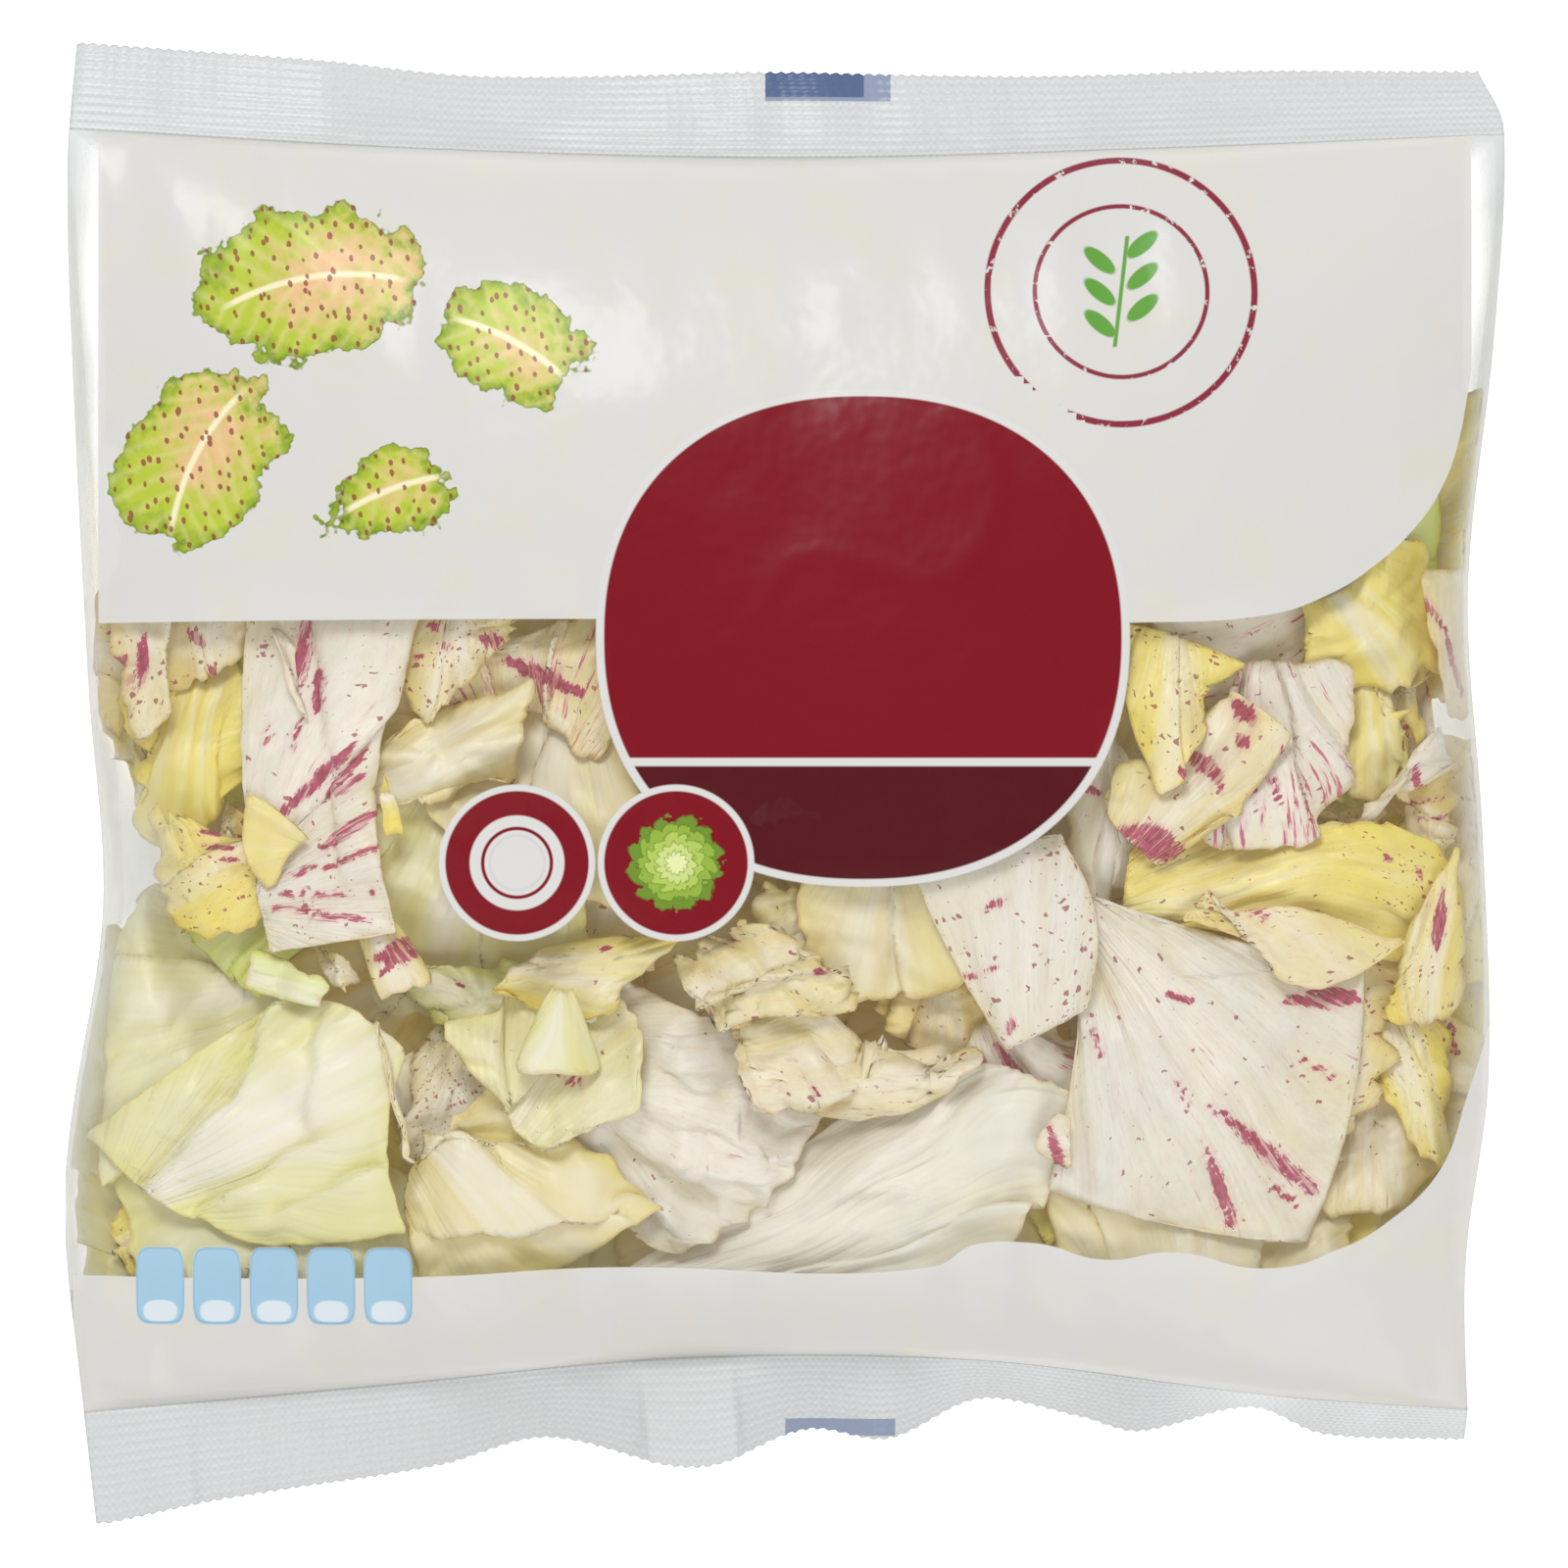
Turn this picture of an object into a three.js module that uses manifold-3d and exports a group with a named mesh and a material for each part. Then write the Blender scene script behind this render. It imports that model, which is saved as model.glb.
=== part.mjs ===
// A pillow bag of cut variegated radicchio, lying on its back seam.
// One sheet of clear printed film is folded into a tube, lapped along the back and crimped at both ends.
// It holds hand-sized cut leaves, each a thin arched blade with folds, waves or a rolled edge.
//
// Millimetres, +Z up. X runs across the bag, Y from the bottom crimp to the top crimp.
// The origin is under the middle of the bag, on the surface that it lies on.

import * as THREE from "three";
import { mergeVertices } from "three/addons/utils/BufferGeometryUtils.js";
import Module from "manifold-3d";

const wasm = await Module();
wasm.setup();

// ---------------------------------------------------------------- driving dimensions

const FILM = 0.6; // film wall, thicker than the real 0.04 so that it is a sound solid
const SIDE_RISE = 16; // height of the folded side edges above the table
const END_RISE = 3; // how much higher the crimped ends lie
const FRONT_SWELL = 29; // front of the bag above its side edges
const BACK_SWELL = 27; // back below the side edges, before the table flattens it
const SWELL_LUMPS = 0.035; // share of the swell that the leaves push in and out
const EDGE_THICKNESS = 1.4; // two layers where the bag is folded or welded
const CRIMP_RIBS = 4; // ribs pressed across each crimp
const CRIMP_RIB_DEPTH = 0.35;
const TOP_CRIMP = 15.5; // material width of the top crimp
const BOTTOM_CRIMP = 17.5; // material width of the bottom crimp
const CRIMP_FLOOR = 1.6; // lowest height that a drooping crimp reaches

const LAP = { from: -3, to: 12, ramp: 4, gap: 0.3, length: 130 }; // back seam, where the film's edges overlap

const LEAF = 0.8; // blade thickness
const LEAF_CELL = 8.5; // blade mesh spacing
const CLEAR_OF_FILM = 1.2;
const CLEAR_OF_LEAF = 0.75;

// The outline of the lying bag: side edges as x over y, crimp lines and crimp ends as y over x.
const LEFT_EDGE = [[-126, -117], [-108, -119], [-75, -122.5], [-58, -121.5], [-21, -116], [17, -118.5],
  [67, -121], [103, -122], [127, -120.5]];
const RIGHT_EDGE = [[-113, 116.5], [-82, 116], [-50, 120], [-8, 119], [33, 116.5], [77, 121], [112, 122.5],
  [122, 118.5]];
const TOP_LINE = [[-122, 111.5], [-60, 108], [0, 106.5], [60, 108], [122, 110.5]];
const BOTTOM_LINE = [[-120, -107], [-66, -102], [-16, -97.5], [33, -98], [83, -104], [117, -106.5]];
const TOP_END = [[-120, 126.5], [-78, 123.5], [-50, 121], [0, 121.5], [42, 121], [83, 122], [118, 122]];
const BOTTOM_END = [[-117, -126], [-100, -122.5], [-60, -116.5], [-42, -112], [-16, -116.5], [3, -110.5],
  [17, -112], [33, -105.5], [50, -108.5], [60, -111], [80, -107], [92, -111.5], [116, -112.5]];

// ---------------------------------------------------------------- small helpers

const clamp = (x, low, high) => Math.min(high, Math.max(low, x));
const mix = (a, b, t) => a + (b - a) * t;

// A smooth curve through points [t, value], by cubic Hermite spans.
function curveThrough(points) {
  const slope = (i) => {
    const a = points[Math.max(0, i - 1)];
    const b = points[Math.min(points.length - 1, i + 1)];
    return (b[1] - a[1]) / (b[0] - a[0]);
  };
  return (t) => {
    const x = clamp(t, points[0][0], points.at(-1)[0]);
    let i = 0;
    while (i < points.length - 2 && x > points[i + 1][0]) i++;
    const [[x0, y0], [x1, y1]] = [points[i], points[i + 1]];
    const h = x1 - x0;
    const s = (x - x0) / h;
    const [s2, s3] = [s * s, s * s * s];
    return y0 * (2 * s3 - 3 * s2 + 1) + h * slope(i) * (s3 - 2 * s2 + s)
      + y1 * (3 * s2 - 2 * s3) + h * slope(i + 1) * (s3 - s2);
  };
}

// A seeded random source, from 0 to 1.
function randomSource(seed) {
  let state = seed >>> 0;
  return () => {
    state = (state + 0x6d2b79f5) >>> 0;
    let t = state;
    t = Math.imul(t ^ (t >>> 15), t | 1);
    t ^= t + Math.imul(t ^ (t >>> 7), t | 61);
    return ((t ^ (t >>> 14)) >>> 0) / 4294967296;
  };
}

// The closed solid between two grids of points, split into triangles alike on both faces.
function solidBetween(upper, lower) {
  const [n, m] = [upper.length - 1, upper[0].length - 1];
  const positions = [];
  const face = (a, b, c) => positions.push(...a, ...b, ...c);
  const quad = (a, b, c, d) => {
    face(a, b, c);
    face(a, c, d);
  };
  for (let i = 0; i < n; i++)
    for (let j = 0; j < m; j++) {
      quad(upper[i][j], upper[i + 1][j], upper[i + 1][j + 1], upper[i][j + 1]);
      face(lower[i][j], lower[i + 1][j + 1], lower[i + 1][j]);
      face(lower[i][j], lower[i][j + 1], lower[i + 1][j + 1]);
    }
  for (let i = 0; i < n; i++) {
    quad(lower[i][0], lower[i + 1][0], upper[i + 1][0], upper[i][0]);
    quad(lower[i + 1][m], lower[i][m], upper[i][m], upper[i + 1][m]);
  }
  for (let j = 0; j < m; j++) {
    quad(lower[0][j + 1], lower[0][j], upper[0][j], upper[0][j + 1]);
    quad(lower[n][j], lower[n][j + 1], upper[n][j + 1], upper[n][j]);
  }
  return new THREE.BufferGeometry().setAttribute("position", new THREE.Float32BufferAttribute(positions, 3));
}

// A three.js geometry as a solid that can be joined and cut.
function toManifold(geometry) {
  geometry.deleteAttribute("normal");
  geometry.deleteAttribute("uv");
  const merged = mergeVertices(geometry, 1e-4);
  const [vertProperties, index] = [merged.attributes.position.array, merged.index.array];
  const triVerts = [];
  for (let i = 0; i < index.length; i += 3) {
    const [a, b, c] = [index[i], index[i + 1], index[i + 2]];
    if (a !== b && b !== c && a !== c) triVerts.push(a, b, c);
  }
  return new wasm.Manifold(new wasm.Mesh({ numProp: 3, vertProperties, triVerts: new Uint32Array(triVerts) }));
}

function toGeometry(solid) {
  const mesh = solid.getMesh();
  return new THREE.BufferGeometry()
    .setAttribute("position", new THREE.BufferAttribute(new Float32Array(mesh.vertProperties), 3))
    .setIndex(new THREE.BufferAttribute(new Uint32Array(mesh.triVerts), 1))
    .toNonIndexed();
}

// ---------------------------------------------------------------- the bag's surfaces

const [leftEdge, rightEdge] = [curveThrough(LEFT_EDGE), curveThrough(RIGHT_EDGE)];
const [topLine, bottomLine] = [curveThrough(TOP_LINE), curveThrough(BOTTOM_LINE)];
const [topEnd, bottomEnd] = [curveThrough(TOP_END), curveThrough(BOTTOM_END)];

// Place within the bag's outline: u from -1 at the left edge to 1, v from -1 at the bottom crimp to 1.
const acrossOf = (x, y) => (2 * x - leftEdge(y) - rightEdge(y)) / (rightEdge(y) - leftEdge(y));
const alongOf = (x, y) => (2 * y - bottomLine(x) - topLine(x)) / (topLine(x) - bottomLine(x));

// The plan point at (u, v), found by repeating the two edge blends until they agree.
function planAt(u, v) {
  let [x, y] = [u * 120, v * 105];
  for (let k = 0; k < 6; k++) {
    x = mix(leftEdge(y), rightEdge(y), (u + 1) / 2);
    y = mix(bottomLine(x), topLine(x), (v + 1) / 2);
  }
  return [x, y];
}

// How far the bag has swollen at a plan point, from 0 at its outline to 1 in the middle.
function swell(x, y) {
  const u = clamp(Math.abs(acrossOf(x, y)), 0, 1);
  const v = clamp(Math.abs(alongOf(x, y)), 0, 1);
  return (1 - u ** 2.6) ** 0.54 * (1 - v ** 2.4) ** 0.6;
}

const lumps = (x, y) => 1 + SWELL_LUMPS * (Math.sin(x / 17 + 1) * Math.cos(y / 21) + Math.sin((x + y) / 29));
const edgeHeight = (x, y) => SIDE_RISE + END_RISE * clamp(Math.abs(alongOf(x, y)), 0, 1) ** 2;
const frontHeight = (x, y) => edgeHeight(x, y) + EDGE_THICKNESS / 2 + FRONT_SWELL * swell(x, y) * lumps(x, y);
const backHeight = (x, y) => Math.max(0, edgeHeight(x, y) - EDGE_THICKNESS / 2 - BACK_SWELL * swell(x, y));

// The film's upright thickness, which grows where the film is steep.
function filmDrop(height, x, y) {
  const step = 0.5;
  const slopeX = (height(x + step, y) - height(x - step, y)) / (2 * step);
  const slopeY = (height(x, y + step) - height(x, y - step)) / (2 * step);
  return FILM * Math.min(2.2, Math.hypot(1, slopeX, slopeY));
}

// The inside of the back film steps up over the lap, by the second film and the gap between the two.
function lapStep(x) {
  const rise = clamp((x - LAP.from + LAP.ramp) / LAP.ramp, 0, 1);
  const fall = clamp((LAP.to + LAP.ramp - x) / LAP.ramp, 0, 1);
  return (FILM + LAP.gap) * Math.min(rise, fall);
}
const frontInside = (x, y) => frontHeight(x, y) - filmDrop(frontHeight, x, y);
const backInside = (x, y) => backHeight(x, y) + filmDrop(backHeight, x, y) + lapStep(x);

// ---------------------------------------------------------------- film

// Shares from -1 to 1 that close up towards both ends.
const spaced = (count) => Array.from({ length: count + 1 }, (_, i) => {
  const t = 2 * i / count - 1;
  return 0.4 * t + 0.6 * Math.sin(Math.PI * t / 2);
});
const ROWS = spaced(16);
const LAP_COLUMNS = [LAP.from - LAP.ramp, LAP.from, LAP.to, LAP.to + LAP.ramp].map((x) => x / 118);
const COLUMNS = [...spaced(26).filter((u) => LAP_COLUMNS.every((lap) => Math.abs(u - lap) > 0.04)),
  ...LAP_COLUMNS].sort((a, b) => a - b);

// A column of the bag's skin at one share of its width, from the bottom crimp's end to the top crimp's end.
// layer is 1 for the front and -1 for the back.
function skinColumn(u, layer) {
  const height = layer > 0 ? frontHeight : backHeight;
  const rows = 2 * CRIMP_RIBS + 1;
  const crimp = (outwards, line, end, width) => Array.from({ length: rows }, (_, k) => {
    const x0 = planAt(u, outwards)[0];
    const [yIn, yOut] = [line(x0), end(x0)];
    const s = (k + 1) / rows;
    const y = mix(yIn, yOut, s);
    const fullDroop = Math.sqrt(Math.max(0, width ** 2 - (yOut - yIn) ** 2));
    const droop = Math.min(fullDroop, SIDE_RISE + END_RISE - CRIMP_FLOOR);
    const rib = CRIMP_RIB_DEPTH * (k % 2 ? 1 : -1);
    return [mix(leftEdge(y), rightEdge(y), (u + 1) / 2), y,
      SIDE_RISE + END_RISE - droop * s + rib + layer * EDGE_THICKNESS / 2];
  });
  const pillow = ROWS.map((v) => {
    const [x, y] = planAt(u, v);
    return [x, y, height(x, y)];
  });
  return [...crimp(-1, bottomLine, bottomEnd, BOTTOM_CRIMP).reverse(), ...pillow,
    ...crimp(1, topLine, topEnd, TOP_CRIMP)];
}

// The hollow, which ends one row and one column short of the folded and welded edges.
function hollow() {
  const layer = (height) => COLUMNS.slice(1, -1).map((u) => ROWS.slice(1, -1).map((v) => {
    const [x, y] = planAt(u, v);
    return [x, y, height(x, y)];
  }));
  return solidBetween(layer(frontInside), layer(backInside));
}

// The gap between the two overlapping edges of film: in through the back, across the lap, and into the hollow.
function lapGap() {
  const box = (x0, x1, z0, z1) => toManifold(new THREE.BoxGeometry(x1 - x0, LAP.length, z1 - z0)
    .translate((x0 + x1) / 2, 0, (z0 + z1) / 2));
  const top = FILM + LAP.gap;
  return box(LAP.to - LAP.gap, LAP.to, -1, top).add(box(LAP.from, LAP.to, FILM, top))
    .add(box(LAP.from, LAP.from + LAP.gap, FILM, top + 3 * FILM));
}

function filmBag() {
  const skin = (layer) => COLUMNS.map((u) => skinColumn(u, layer));
  return toGeometry(toManifold(solidBetween(skin(1), skin(-1))).subtract(toManifold(hollow())).subtract(lapGap()));
}

// ---------------------------------------------------------------- the space that is left inside the bag

// A grid over the plan of the bag that remembers how much of its inside is taken, from the front or the back.
const GRID = { step: 2, x: -124, y: -112, columns: 125, rows: 116 };

function newLevel(value) {
  return new Float64Array(GRID.columns * GRID.rows).fill(value);
}

function bilinear(level, x, y) {
  const gx = clamp((x - GRID.x) / GRID.step, 0, GRID.columns - 1.001);
  const gy = clamp((y - GRID.y) / GRID.step, 0, GRID.rows - 1.001);
  const [i, j] = [Math.floor(gx), Math.floor(gy)];
  const at = (p, q) => level[q * GRID.columns + p];
  return mix(mix(at(i, j), at(i + 1, j), gx - i), mix(at(i, j + 1), at(i + 1, j + 1), gx - i), gy - j);
}

// One pass of a filter along rows or columns, with a window of a few cells each way.
function filtered(level, reach, alongRow, combine, finish) {
  const out = newLevel(0);
  for (let j = 0; j < GRID.rows; j++)
    for (let i = 0; i < GRID.columns; i++) {
      let total = null;
      for (let k = -reach; k <= reach; k++) {
        const p = clamp(i + (alongRow ? k : 0), 0, GRID.columns - 1);
        const q = clamp(j + (alongRow ? 0 : k), 0, GRID.rows - 1);
        const value = level[q * GRID.columns + p];
        total = total === null ? value : combine(total, value);
      }
      out[j * GRID.columns + i] = finish(total);
    }
  return out;
}

// A smooth level that lies nowhere under the given one: the highest value near each cell, then averaged.
function smoothCover(level, reach) {
  const highest = (l, row) => filtered(l, reach, row, Math.max, (t) => t);
  const average = (l, row) => filtered(l, reach, row, (a, b) => a + b, (t) => t / (2 * reach + 1));
  return average(average(highest(highest(level, true), false), true), false);
}

// Raises the level to at least the value, at the grid points around a plan point.
function stamp(level, x, y, value) {
  const [i, j] = [Math.floor((x - GRID.x) / GRID.step), Math.floor((y - GRID.y) / GRID.step)];
  for (const [p, q] of [[i, j], [i + 1, j], [i, j + 1], [i + 1, j + 1]]) {
    if (p < 0 || q < 0 || p >= GRID.columns || q >= GRID.rows) continue;
    const at = q * GRID.columns + p;
    level[at] = Math.max(level[at], value);
  }
}

const taken = { front: newLevel(CLEAR_OF_FILM), back: newLevel(CLEAR_OF_FILM) };

// ---------------------------------------------------------------- leaves

// The plan of a cut leaf: four corners joined by sides that bulge outwards by a few millimetres.
function planPatch(corners, bulge) {
  const area = corners.reduce((sum, [x, y], k) => {
    const [nx, ny] = corners[(k + 1) % 4];
    return sum + x * ny - nx * y;
  }, 0);
  const outwards = area > 0 ? 1 : -1;
  const middles = corners.map(([x, y], k) => {
    const [nx, ny] = corners[(k + 1) % 4];
    const length = Math.hypot(nx - x, ny - y);
    const out = outwards * (bulge[k] ?? 0);
    return [(x + nx) / 2 + out * (ny - y) / length, (y + ny) / 2 - out * (nx - x) / length];
  });
  // Corners 0 to 3 lie at (0, 0), (1, 0), (1, 1) and (0, 1), with each middle half-way along a side.
  return (a, b) => {
    const [p, q] = [2 * a - 1, 2 * b - 1];
    const corner = (sp, sq) => (1 + sp * p) * (1 + sq * q) * (sp * p + sq * q - 1) / 4;
    const weights = [corner(-1, -1), corner(1, -1), corner(1, 1), corner(-1, 1),
      (1 - p * p) * (1 - q) / 2, (1 - q * q) * (1 + p) / 2, (1 - p * p) * (1 + q) / 2, (1 - q * q) * (1 - p) / 2];
    const points = [...corners, ...middles];
    return [0, 1].map((axis) => points.reduce((sum, point, k) => sum + weights[k] * point[axis], 0));
  };
}

// How far below its highest surface a leaf dips at (a, b), by its bow, folds and waved rim.
function relief(leaf, a, b) {
  const arch = (amount, t) => (amount > 0 ? amount * (2 * t - 1) ** 2 : -amount * (1 - (2 * t - 1) ** 2));
  const [bowAcross, bowAlong] = leaf.bow ?? [1.5, 1];
  const [folds, foldDepth, skew] = leaf.folds ?? [0, 0, 0];
  const [waves, waveDepth] = leaf.waves ?? [0, 0];
  const rim = Math.max(Math.abs(2 * a - 1), Math.abs(2 * b - 1)) ** 3;
  const round = Math.atan2(2 * b - 1, 2 * a - 1);
  return arch(bowAcross, a) + arch(bowAlong, b)
    + foldDepth * (0.5 - 0.5 * Math.cos(2 * Math.PI * (folds * a + skew * b)))
    + waveDepth * rim * (0.5 - 0.5 * Math.cos(waves * round + 1));
}

// Each side of the bag: its inner surface and the way in from it.
const SIDES = {
  front: { inside: frontInside, inwards: -1 },
  back: { inside: backInside, inwards: 1 },
};
const depthOf = ([x, y, z], side) => SIDES[side].inwards * (z - SIDES[side].inside(x, y));
const roomAt = (x, y) => frontInside(x, y) - backInside(x, y);

// The middle surface of a leaf as a grid of points. A rolled leaf turns back over its last side.
function middleSurface(leaf, cover, side) {
  const patch = planPatch(leaf.corners, leaf.bulge ?? []);
  const distance = (p, q) => Math.hypot(p[0] - q[0], p[1] - q[1]);
  const [width, length] = [distance(patch(0, 0.5), patch(1, 0.5)), distance(patch(0.5, 0), patch(0.5, 1))];
  const cells = (size) => clamp(Math.round(size / LEAF_CELL), 3, 8);
  const [columns, rows] = [cells(width), cells(length)];
  const [radius, turn] = leaf.roll ?? [0, 0];
  const rollRows = radius ? 4 : 0;
  const flatEnd = 1 - radius / length;
  return Array.from({ length: columns + 1 }, (_, i) => Array.from({ length: rows + rollRows + 1 }, (_, j) => {
    const a = i / columns;
    const angle = Math.max(0, j - rows) / (rollRows || 1) * turn;
    const b = Math.min(j / rows, 1) * flatEnd;
    let [x, y] = patch(a, b);
    if (j > rows) {
      const [x1, y1] = patch(a, b - 0.05);
      const reach = radius * Math.sin(angle) / Math.hypot(x - x1, y - y1);
      [x, y] = [x + (x - x1) * reach, y + (y - y1) * reach];
    }
    const looseness = clamp((roomAt(x, y) - 12) / 20, 0.05, 1);
    const depth = bilinear(cover, x, y) + looseness * relief(leaf, a, b) + LEAF / 2
      + radius * (1 + Math.cos(angle));
    return [x, y, SIDES[side].inside(x, y) + SIDES[side].inwards * depth];
  }));
}

// The corner points of each triangle of a blade's middle surface, as places in its grid.
function* triangles(middle) {
  for (let i = 0; i < middle.length - 1; i++)
    for (let j = 0; j < middle[0].length - 1; j++) {
      yield [[i, j], [i + 1, j], [i + 1, j + 1]];
      yield [[i, j], [i + 1, j + 1], [i, j + 1]];
    }
}

// Spots spread over a triangle, each as three shares that add up to one.
const SPOTS = [];
for (let i = 0; i <= 6; i++)
  for (let j = 0; j <= 6 - i; j++) SPOTS.push([i / 6, j / 6, (6 - i - j) / 6]);

// Calls back with every spot of a blade: where it is, and half the blade's thickness measured upright there.
function overBlade(middle, visit) {
  for (const places of triangles(middle)) {
    const corners = places.map(([i, j]) => new THREE.Vector3(...middle[i][j]));
    const normal = new THREE.Triangle(...corners).getNormal(new THREE.Vector3());
    const upright = LEAF / 2 / Math.max(0.35, Math.abs(normal.z));
    for (const shares of SPOTS) {
      const point = [0, 1, 2].map((k) => shares.reduce((sum, s, c) => sum + s * corners[c].getComponent(k), 0));
      visit(point, upright, places, shares);
    }
  }
}

// Lowers a leaf's points until the whole blade clears what is already in the bag.
function settle(middle, side, rigid) {
  const inwards = SIDES[side].inwards;
  for (let pass = 0; pass < 40; pass++) {
    const push = middle.map((column) => column.map(() => 0));
    let worst = 0;
    overBlade(middle, (point, upright, places, shares) => {
      const lack = bilinear(taken[side], point[0], point[1]) + upright - depthOf(point, side);
      worst = Math.max(worst, lack);
      if (lack <= 0) return;
      const squares = shares.reduce((sum, s) => sum + s * s, 0);
      places.forEach(([i, j], c) => { push[i][j] = Math.max(push[i][j], lack * shares[c] / squares); });
    });
    if (worst <= 0.01) return;
    middle.forEach((column, i) => column.forEach((point, j) => {
      point[2] += inwards * (rigid ? worst : push[i][j]);
    }));
  }
}

// The blade's upper and lower faces, half its thickness either side of the middle surface.
function faces(middle) {
  const at = (i, j) => middle[clamp(i, 0, middle.length - 1)][clamp(j, 0, middle[0].length - 1)];
  const offset = (i, j, amount) => {
    const along = (p, q) => new THREE.Vector3(...q).sub(new THREE.Vector3(...p));
    const normal = along(at(i - 1, j), at(i + 1, j)).cross(along(at(i, j - 1), at(i, j + 1))).normalize();
    return new THREE.Vector3(...at(i, j)).addScaledVector(normal, amount).toArray();
  };
  return [LEAF / 2, -LEAF / 2].map((amount) => middle.map((column, i) => column.map((_, j) => offset(i, j, amount))));
}

const signedArea = (corners) => corners.reduce((sum, [x, y], k) => {
  const [nx, ny] = corners[(k + 1) % 4];
  return sum + (x * ny - nx * y) / 2;
}, 0);

// The same leaf with its corners taken anticlockwise, the tip side still last.
function anticlockwise(leaf) {
  if (signedArea(leaf.corners) > 0) return leaf;
  const [c0, c1, c2, c3] = leaf.corners;
  const [b0 = 0, b1 = 0, b2 = 0, b3 = 0] = leaf.bulge ?? [];
  return { ...leaf, corners: [c1, c0, c3, c2], bulge: [b0, b3, b2, b1] };
}

// Shapes a leaf against what is already in the bag, and notes the space that it takes.
function packLeaf(leaf, side) {
  const middle = middleSurface(anticlockwise(leaf), smoothCover(taken[side], 2), side);
  settle(middle, side, Boolean(leaf.roll));
  overBlade(middle, (point, upright) => {
    stamp(taken[side], point[0], point[1], depthOf(point, side) + upright + CLEAR_OF_LEAF);
  });
  return solidBetween(...faces(middle));
}

// ---------------------------------------------------------------- what is in the bag

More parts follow.
